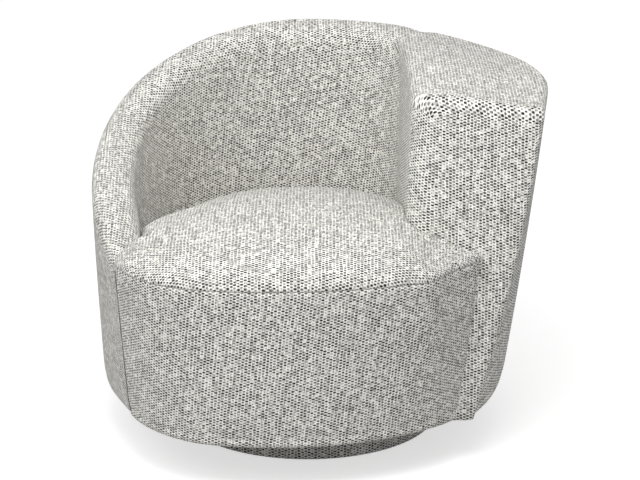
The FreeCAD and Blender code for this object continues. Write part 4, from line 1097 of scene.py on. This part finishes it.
def grid_over_dome():
    gx, gy = np.meshgrid(np.arange(*GRID_X, GRID), np.arange(*GRID_Y, GRID), indexing="ij")
    dx = gx - CUSHION_MIDDLE[0]
    dy = gy - CUSHION_MIDDLE[1]
    on_wing = (gx > WING_INNER_X - WING_MARGIN) & (gy > -WING_FORWARD)
    used = (np.hypot(dx, dy) / rim_distance(dx, dy) < GRID_RIM) & ~on_wing
    number = -np.ones(gx.shape, int)
    number[used] = np.arange(used.sum())
    places = np.stack([gx[used], gy[used], dome(gx[used], gy[used])], axis=-1)
    around = np.stack([number[:-1, :-1], number[1:, :-1], number[1:, 1:], number[:-1, 1:]], axis=-1)
    quads = around.reshape(-1, 4)
    return places, quads[quads.min(axis=1) >= 0]


print("squares in the plain grid:", len(grid_over_dome()[1]))

# %% [markdown]
# ## The cloth run
# Blender's Cloth takes a pressure and a group of held points. Gravity is off, because the swell comes from
# the foam below. The run is stepped frame by frame and gives the same result each time.

# %% Blow the grid out
PRESSURE = 4
STIFFNESS = 30
FRAMES = 20


def blown_out(places, quads):
    """How far each place of the grid moves in the cloth run."""
    mesh = bpy.data.meshes.new("swell_grid")
    mesh.from_pydata((places * MM).tolist(), [], quads.tolist())
    grid = bpy.data.objects.new("swell_grid", mesh)
    bpy.context.scene.collection.objects.link(grid)
    held = grid.vertex_groups.new(name="held")
    squares = np.bincount(quads.ravel(), minlength=len(places))
    held.add(np.nonzero(squares < 4)[0].tolist(), 1.0, "REPLACE")
    cloth = grid.modifiers.new("cloth", "CLOTH")
    cloth.settings.vertex_group_mass = "held"
    cloth.settings.use_pressure = True
    cloth.settings.uniform_pressure_force = PRESSURE
    cloth.settings.effector_weights.gravity = 0
    cloth.settings.tension_stiffness = STIFFNESS
    scene = bpy.context.scene
    for step in range(1, FRAMES + 1):
        scene.frame_set(step)
    blown = grid.evaluated_get(bpy.context.evaluated_depsgraph_get()).to_mesh()
    moved = np.array([vertex.co for vertex in blown.vertices]) / MM - places
    scene.frame_set(1)
    bpy.data.objects.remove(grid)
    return moved


print("the cloth run has", FRAMES, "frames")

# %% [markdown] ## From the grid to the cushion The cushion's own points lie between the grid's, so each
# takes a mean of what the places near it did. The swell is eased towards its largest value, never cut off,
# because a cut would leave a visible edge.

# %% The cushion takes over the swell
LARGEST_SWELL = 7.0
SPREAD = 1.2 * GRID
LEAST_WEIGHT = 0.2


def swell_of(points):
    """The swell at each point: a weighted mean of what the grid's near places did."""
    places, quads = grid_over_dome()
    moved = blown_out(places, quads)
    size = np.linalg.norm(moved, axis=1, keepdims=True)
    print("cloth run moved the cover by up to", round(float(size.max()), 1), "mm")
    moved *= LARGEST_SWELL * np.tanh(size / LARGEST_SWELL) / np.maximum(size, 1e-6)
    gap = np.linalg.norm(points[:, None, :2] - places[None, :, :2], axis=2)
    weight = np.exp(-((gap / SPREAD) ** 2))
    return weight @ moved / np.maximum(weight.sum(axis=1, keepdims=True), LEAST_WEIGHT)


corners = np.array([vertex.co for vertex in cushion.data.vertices]) / MM
upper = corners[:, 2] > LOW + 20
change = np.zeros_like(corners)
change[upper] = swell_of(corners[upper])
swollen = kept_off_wing(corners + change)
cushion.data.vertices.foreach_set("co", (swollen * MM).astype(np.float32).ravel())
print("largest change kept:", round(float(np.linalg.norm(change, axis=1).max()), 1), "mm")

# %% [markdown]
# ## The plinth's band
# A low round plinth carries the chair. Its band is a strip of the same cloth, pulled tight over a hoop and
# turned in at both edges. One profile carried round the axis gives it. A Screw modifier would do the same,
# but this grid also keeps the length round the hoop for the weave.

# %% The plinth's grid
PLINTH_RADIUS = 240
PLINTH_COLUMNS = 181
PLINTH_PATH = [(5, 4.6), (1.5, 3.2), (0.3, 4.8), (0, 8), (0, 15), (0, 23), (0, 31), (0, 39), (0.2, 46),
               (1.6, 50.4), (5, 51.7), (9, 51.8)]
turns = np.radians(np.linspace(0, 360, PLINTH_COLUMNS))[:, None]
band_radius = PLINTH_RADIUS - np.array([inset for inset, rise in PLINTH_PATH])[None]
band_height = np.array([rise for inset, rise in PLINTH_PATH])[None] + 0 * turns
band = np.stack([band_radius * np.cos(turns), band_radius * np.sin(turns), band_height], axis=-1)
band_weave = np.stack(np.broadcast_arrays(PLINTH_RADIUS * turns, path_length(band)), axis=-1)
plinth_band = cloth_piece("plinth_band_fabric", [(band, band_weave)], ("plinth_cover",))
print("length round the plinth:", round(2 * math.pi * PLINTH_RADIUS))

# %% [markdown]
# ## A helper for shader arithmetic
# The woven pattern is sums in a node tree, and each sum is a node with links. Written out one by one, they
# hide the idea. This helper makes a node from a word and its inputs: a number is set on the socket itself,
# and another node's output is linked to it.

# %% Sums in a node tree


class Sums:
    def __init__(self, tree):
        self.tree = tree

    def put(self, socket, value):
        if isinstance(value, bpy.types.NodeSocket):
            self.tree.links.new(value, socket)
        else:
            socket.default_value = value

    def node(self, kind, **inputs):
        made = self.tree.nodes.new(kind)
        for name, value in inputs.items():
            self.put(made.inputs[name], value)
        return made

    def do(self, operation, *values):
        made = self.tree.nodes.new("ShaderNodeMath")
        made.operation = operation
        for socket, value in zip(made.inputs, values):
            self.put(socket, value)
        return made.outputs[0]

    def vector(self, x, y, z=0.0):
        return self.node("ShaderNodeCombineXYZ", X=x, Y=y, Z=z).outputs[0]

    def ease(self, value, low, high):
        made = self.tree.nodes.new("ShaderNodeMapRange")
        made.interpolation_type = "SMOOTHSTEP"
        for name, given in (("Value", value), ("From Min", low), ("From Max", high)):
            self.put(made.inputs[name], given)
        return made.outputs["Result"]

    def noise(self, place, scale=1.0, detail=2.0):
        return self.node("ShaderNodeTexNoise", Vector=place, Scale=scale, Detail=detail).outputs["Fac"]

    def stretched_noise(self, x, y, x_scale, y_scale, detail, z=0.0):
        place = self.vector(self.do("MULTIPLY", x, x_scale), self.do("MULTIPLY", y, y_scale), z)
        return self.noise(place, 1.0, detail)

    def blend(self, share, a, b):
        made = self.tree.nodes.new("ShaderNodeMix")
        made.data_type = "RGBA"
        for name, given in (("Factor", share), ("A", a), ("B", b)):
            self.put(made.inputs[name], given)
        return made.outputs["Result"]


print("shader helpers:", [name for name in vars(Sums) if not name.startswith("_")])

# %% [markdown]
# ## A new finish
# Every finish starts from Blender's Principled shader, which covers cloth, wood and steel alike. Roughness
# and metal are one number each and are set straight on it; colour and relief are linked to it later.

# %% A material with its shader and its sums


def new_finish(name, roughness, metallic=0.0):
    made = bpy.data.materials.new(name)
    made.use_nodes = True
    shader = made.node_tree.nodes["Principled BSDF"]
    shader.inputs["Roughness"].default_value = roughness
    shader.inputs["Metallic"].default_value = metallic
    return made, shader, Sums(made.node_tree)


print("materials so far:", len(bpy.data.materials))

# %% [markdown]
# ## The weave's cells
# The cloth is a coarse two-tone weave: cream yarn with a dark fleck in every cell, and each column of
# cells stands half a cell off its neighbour. A picture of it would blur or repeat, so the pattern is worked
# out by the shader from the weave map, which gives every fleck its real size of about five millimetres.

# %% Columns and cells
COLUMN = 5.9
CELL = 5.1
DRIFT = 3.0
DRIFT_SCALE = 0.03
MANY_COLUMNS = 4000.0


def weave_cells(m):
    """Each place's cloth lengths, its column and cell, and how far it is from that cell's middle."""
    weave_map = m.node("ShaderNodeUVMap")
    weave_map.uv_map = "weave"
    parts = m.node("ShaderNodeSeparateXYZ", Vector=weave_map.outputs[0])
    u = m.do("MULTIPLY", parts.outputs[0], 1 / MM)
    v = m.do("MULTIPLY", parts.outputs[1], 1 / MM)
    drift = m.stretched_noise(u, v, DRIFT_SCALE, DRIFT_SCALE, 1.0)
    u = m.do("ADD", u, m.do("MULTIPLY", drift, DRIFT))
    columns = m.do("DIVIDE", u, COLUMN)
    column = m.do("FLOOR", columns)
    odd = m.do("MODULO", m.do("ADD", column, MANY_COLUMNS), 2.0)
    cells = m.do("ADD", m.do("DIVIDE", v, CELL), m.do("MULTIPLY", odd, 0.5))
    across = m.do("ABSOLUTE", m.do("SUBTRACT", m.do("FRACT", columns), 0.5))
    upward = m.do("ABSOLUTE", m.do("SUBTRACT", m.do("FRACT", cells), 0.5))
    return u, v, column, m.do("FLOOR", cells), across, upward


print("columns and cells, in millimetres:", COLUMN, CELL)

# %% [markdown]
# ## The flecks
# A fleck is the dark yarn where it comes to the front: a small upright block with round corners, half as
# high as its cell. High powers of the distances from the cell's middle give that shape, since a plain
# circle would look like printed dots. Chance makes some flecks larger than others.

# %% The shape of a fleck
FLECK_SIZE = (0.9, 0.25)
FLECK_WIDE = 0.41
FLECK_TALL = 0.28
FLECK_SQUARE = 3.0
FLECK_EDGE = (0.5, 1.4)


def fleck_shape(m, across, upward, luck):
    """One inside the fleck and nothing outside it; luck makes some flecks larger."""
    size = m.do("ADD", FLECK_SIZE[0], m.do("MULTIPLY", luck, FLECK_SIZE[1]))
    wide = m.do("POWER", m.do("DIVIDE", across, m.do("MULTIPLY", size, FLECK_WIDE)), FLECK_SQUARE)
    tall = m.do("POWER", m.do("DIVIDE", upward, m.do("MULTIPLY", size, FLECK_TALL)), FLECK_SQUARE)
    return m.do("SUBTRACT", 1.0, m.ease(m.do("ADD", wide, tall), *FLECK_EDGE))


print("half a fleck, in millimetres:", round(FLECK_WIDE * COLUMN, 1), "by", round(FLECK_TALL * CELL, 1))

# %% [markdown]
# ## The weave's colours and depth
# The real cloth isn't even: the cream yarn turns grey in places and some flecks break up. Noises that are
# stretched along the yarn decide that. The same values raise the yarn above the flecks through a bump, so
# the light catches the weave; modelled yarns would need millions of faces for the same look.

# %% Colours of yarn and flecks
CREAM = (0.93, 0.915, 0.865, 1)
GREY = (0.33, 0.32, 0.295, 1)
DARK = (0.018, 0.018, 0.016, 1)
FIBRE = (1.6, 0.5, 3.0)
SLUB = (0.77, 0.018, 3.0)
TURNED = (0.33, 0.1, 2.0)
BROKEN = (0.25, 0.12, 3.0, 7.0)
BROKEN_RANGE = (0.28, 0.7)
DULL_RANGE = (0.58, 0.92)
MOST_GREY = 0.95


def fleck_strength(m, u, v, fleck, luck):
    broken = m.stretched_noise(u, v, *BROKEN)
    whole = m.ease(m.do("ADD", broken, m.do("MULTIPLY", luck, 0.25)), *BROKEN_RANGE)
    return m.do("MULTIPLY", fleck, whole)


def yarn_colour(m, u, v, column, fibre):
    slub = m.stretched_noise(column, v, *SLUB)
    turned = m.stretched_noise(u, v, *TURNED)
    mixed = m.do("ADD", m.do("MULTIPLY", slub, 0.4), m.do("MULTIPLY", turned, 0.75))
    dull = m.ease(m.do("ADD", mixed, m.do("MULTIPLY", fibre, 0.25)), *DULL_RANGE)
    return m.blend(m.do("MULTIPLY", dull, MOST_GREY), CREAM, GREY)


print("cream, grey and dark:", CREAM[:3], GREY[:3], DARK[:3])

# %% The woven finish
WOVEN_ROUGHNESS = 0.9
SHEEN = 0.12
SHINE = 0.2
STRAND_SLANT = 0.35
STRAND_PITCH = 5.2
RELIEF = 0.0012
RELIEF_STRENGTH = 0.55


def weave_height(m, u, v, fleck, fibre):
    along_strand = m.do("ADD", m.do("MULTIPLY", u, STRAND_SLANT), v)
    strand = m.do("SINE", m.do("MULTIPLY", along_strand, STRAND_PITCH))
    fine = m.do("ADD", m.do("MULTIPLY", fibre, 0.5), m.do("MULTIPLY", strand, 0.08))
    return m.do("ADD", m.do("MULTIPLY", m.do("SUBTRACT", 1.0, fleck), 0.9), fine)


def woven_finish(name):
    made, shader, m = new_finish(name, WOVEN_ROUGHNESS)
    u, v, column, cell, across, upward = weave_cells(m)
    chance = m.node("ShaderNodeTexWhiteNoise")
    chance.noise_dimensions = "2D"
    m.put(chance.inputs["Vector"], m.vector(column, cell))
    luck = chance.outputs["Value"]
    fleck = fleck_shape(m, across, upward, luck)
    fibre = m.stretched_noise(u, v, *FIBRE)
    colour = m.blend(fleck_strength(m, u, v, fleck, luck), yarn_colour(m, u, v, column, fibre), DARK)
    height = weave_height(m, u, v, fleck, fibre)
    bump = m.node("ShaderNodeBump", Strength=RELIEF_STRENGTH, Distance=RELIEF, Height=height)
    m.put(shader.inputs["Base Color"], colour)
    m.put(shader.inputs["Sheen Weight"], SHEEN)
    m.put(shader.inputs["Specular IOR Level"], SHINE)
    m.put(shader.inputs["Normal"], bump.outputs[0])
    return made


woven = woven_finish("woven_fabric")
print("nodes in the woven finish:", len(woven.node_tree.nodes))

# %% [markdown]
# ## Dressing the covers
# All five covers are cut from the same cloth. The plinth's band stands still with the plinth, and the
# others ride on the seat, so they turn and rock with it.

# %% Covers get their cloth and their body
covers = [inside_cover, outside_cover, front_border, cushion, plinth_band]
for piece in covers:
    piece.data.materials.append(woven)
    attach(piece, "plinth" if piece is plinth_band else "seat")
print("covers dressed:", [piece.name for piece in covers])

# %% [markdown]
# ## Finishes for what is inside
# The frame's own pieces keep their shapes and only get better finishes: raw plywood with grain, powder
# coated and zinc plated steel, oil-tempered springs, moulded plastic and felt. All of them are one noise,
# stretched along the grain or left even, between a light and a dark tone, so one function makes them all.

# %% Grain and specks
GRAIN_DETAIL = 6.0
GRAIN_RANGE = (0.35, 0.68)
GRAIN_STRENGTH = 0.4
GLOSS_RANGE = 0.16


def grained(name, light, dark, scale, stretch, roughness, metallic=0.0, depth=0.0004):
    made, shader, m = new_finish(name, roughness, metallic)
    place = m.node("ShaderNodeTexCoord").outputs["Object"]
    mapping = m.node("ShaderNodeMapping", Vector=place, Scale=stretch)
    grain = m.noise(mapping.outputs[0], scale, GRAIN_DETAIL)
    colour = m.blend(m.ease(grain, *GRAIN_RANGE), (*light, 1), (*dark, 1))
    gloss = m.do("ADD", roughness - GLOSS_RANGE / 2, m.do("MULTIPLY", grain, GLOSS_RANGE))
    bump = m.node("ShaderNodeBump", Strength=GRAIN_STRENGTH, Distance=depth, Height=grain)
    m.put(shader.inputs["Base Color"], colour)
    m.put(shader.inputs["Roughness"], gloss)
    m.put(shader.inputs["Normal"], bump.outputs[0])
    return made


print("grain shows between", GRAIN_RANGE[0], "and", GRAIN_RANGE[1], "of its noise")

# %% The inner finishes
EVEN = (1, 1, 1)
ALONG_WOOD = (1, 8, 3)
ALONG_PIN = (1, 1, 3)
INNER_FINISHES = [
    ("plywood", (0.62, 0.45, 0.27), (0.44, 0.29, 0.16), 60, ALONG_WOOD, 0.65),
    ("panel_board", (0.46, 0.34, 0.22), (0.36, 0.26, 0.16), 300, EVEN, 0.75),
    ("black_steel", (0.03, 0.03, 0.03), (0.045, 0.045, 0.045), 700, EVEN, 0.42, 0.3),
    ("zinc_steel", (0.62, 0.62, 0.63), (0.5, 0.5, 0.52), 250, ALONG_PIN, 0.32, 1.0, 0.0001),
    ("spring_steel", (0.16, 0.17, 0.18), (0.11, 0.11, 0.12), 200, EVEN, 0.4, 0.9, 0.0001),
    ("clip_plastic", (0.72, 0.70, 0.64), (0.66, 0.64, 0.58), 400, EVEN, 0.45, 0.0, 0.0001),
    ("felt", (0.2, 0.2, 0.19), (0.12, 0.12, 0.12), 500, EVEN, 0.95, 0.0, 0.0008),
    ("felt_glide", (0.02, 0.02, 0.02), (0.04, 0.04, 0.04), 500, EVEN, 0.95, 0.0, 0.0008),
    ("lining_cloth", (0.012, 0.012, 0.012), (0.025, 0.025, 0.025), 900, EVEN, 0.9),
]
finishes = {row[0]: grained(*row) for row in INNER_FINISHES}
print("inner finishes:", sorted(finishes))

# %% Give the frame's pieces their finishes
finished = 0
for entry in frame["record"]["subparts"]:
    finish = finishes.get(entry["material_slot"])
    if finish and entry["node"] in nodes:
        for place in nodes[entry["node"]].material_slots:
            place.material = finish
        finished += 1
print("frame pieces with a new finish:", finished)

# %% [markdown]
# ## Copies of the coil springs
# The rocker's coil springs are pressed when the seat rocks. The frame's coils are rigid, so copies with
# meshes of their own stand for them here and ride on the turning plate.

# %% Coil springs
for name in ("front_springs", "rear_springs"):
    coil = bpy.data.objects.new(name + "_coils", nodes[name].data.copy())
    bpy.context.scene.collection.objects.link(coil)
    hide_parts(name)
    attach(coil, "turntable")
    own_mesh(coil)

# %% [markdown]
# ## The ground
# The photograph has an even white ground with a faint shadow. The floor is a pale grey that catches the
# shadow, and it glows for the camera alone, so it looks white without throwing more light on the chair.

# %% Floor
HALF_FLOOR = 30
FLOOR_GREY = (0.55, 0.55, 0.55, 1)
FLOOR_GLOW = 0.62
WHITE = (1, 1, 1, 1)
floor_corners = [(x * HALF_FLOOR, y * HALF_FLOOR, 0) for x, y in ((-1, -1), (1, -1), (1, 1), (-1, 1))]
floor_mesh = bpy.data.meshes.new("floor")
floor_mesh.from_pydata(floor_corners, [], [(0, 1, 2, 3)])
floor = bpy.data.objects.new("floor", floor_mesh)
bpy.context.scene.collection.objects.link(floor)
ground, shader, m = new_finish("ground", 0.9)
shader.inputs["Base Color"].default_value = FLOOR_GREY
shader.inputs["Emission Color"].default_value = WHITE
seen = m.node("ShaderNodeLightPath").outputs["Is Camera Ray"]
m.put(shader.inputs["Emission Strength"], m.do("MULTIPLY", seen, FLOOR_GLOW))
floor_mesh.materials.append(ground)
floor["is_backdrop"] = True
print("floor of", 2 * HALF_FLOOR, "metres")

# %% [markdown]
# ## Sky and lamps
# The light is soft and nearly even. A white sky gives most of it. A wide lamp overhead brings out the seat,
# and a larger one at the left front, like a window, shades the wing's side and throws the shadow right.

# %% Sky
SKY_STRENGTH = 0.66
world = bpy.data.worlds.new("studio")
bpy.context.scene.world = world
world.use_nodes = True
sky = world.node_tree.nodes["Background"]
sky.inputs["Color"].default_value = WHITE
sky.inputs["Strength"].default_value = SKY_STRENGTH
print("sky strength:", SKY_STRENGTH)

# %% Lamps


def lamp(name, place, aim, width, watts):
    data = bpy.data.lights.new(name, "AREA")
    data.shape = "SQUARE"
    data.size = width
    data.energy = watts
    made = bpy.data.objects.new(name, data)
    bpy.context.scene.collection.objects.link(made)
    made.location = place
    way = np.array(aim) - np.array(place)
    flat = math.hypot(way[0], way[1])
    made.rotation_euler = (math.atan2(flat, -way[2]), 0, math.atan2(-way[0], way[1]))
    made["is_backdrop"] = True
    print(name, "lamp at", place)


lamp("overhead", place=(-0.1, -1.0, 1.95), aim=(0, 0.15, 0.5), width=1.0, watts=23.5)
lamp("window", place=(-1.8, -1.9, 2.2), aim=(0, 0, 0.4), width=2.0, watts=24)

# %% [markdown]
# ## The camera
# The camera stands where the photograph's perspective puts it: 3.7 metres in front and 1.5 metres up,
# looking 17 degrees down through a long lens. The lens comes from the picture's own scale, its focal length
# in pixels over its width, so the chair is as large in the render as in the photograph.

# %% Camera
PICTURE_WIDTH = 640
FOCAL_PIXELS = 2120.9
SENSOR = 36
CAMERA_PLACE = (0.0226, -3.7165, 1.479)
LOOK_DOWN = 17.09
camera_data = bpy.data.cameras.new("camera")
camera_data.sensor_width = SENSOR
camera_data.lens = FOCAL_PIXELS / PICTURE_WIDTH * SENSOR
camera = bpy.data.objects.new("camera", camera_data)
bpy.context.scene.collection.objects.link(camera)
camera.location = CAMERA_PLACE
camera.rotation_euler = (math.radians(90 - LOOK_DOWN), 0, 0)
bpy.context.scene.camera = camera
bpy.context.scene.view_settings.view_transform = "Standard"
print("camera lens:", round(camera_data.lens, 1))

# %% [markdown]
# ## Sizes before and after
# The dressed chair should be as large as the bare frame, so both boxes are printed.

# %% Print the boxes and finish
last_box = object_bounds()
sizes = {"frame": [list(corner) for corner in first_box], "dressed": [list(corner) for corner in last_box]}
for name, box in sizes.items():
    print(name, [[round(value, 4) for value in corner] for corner in box])
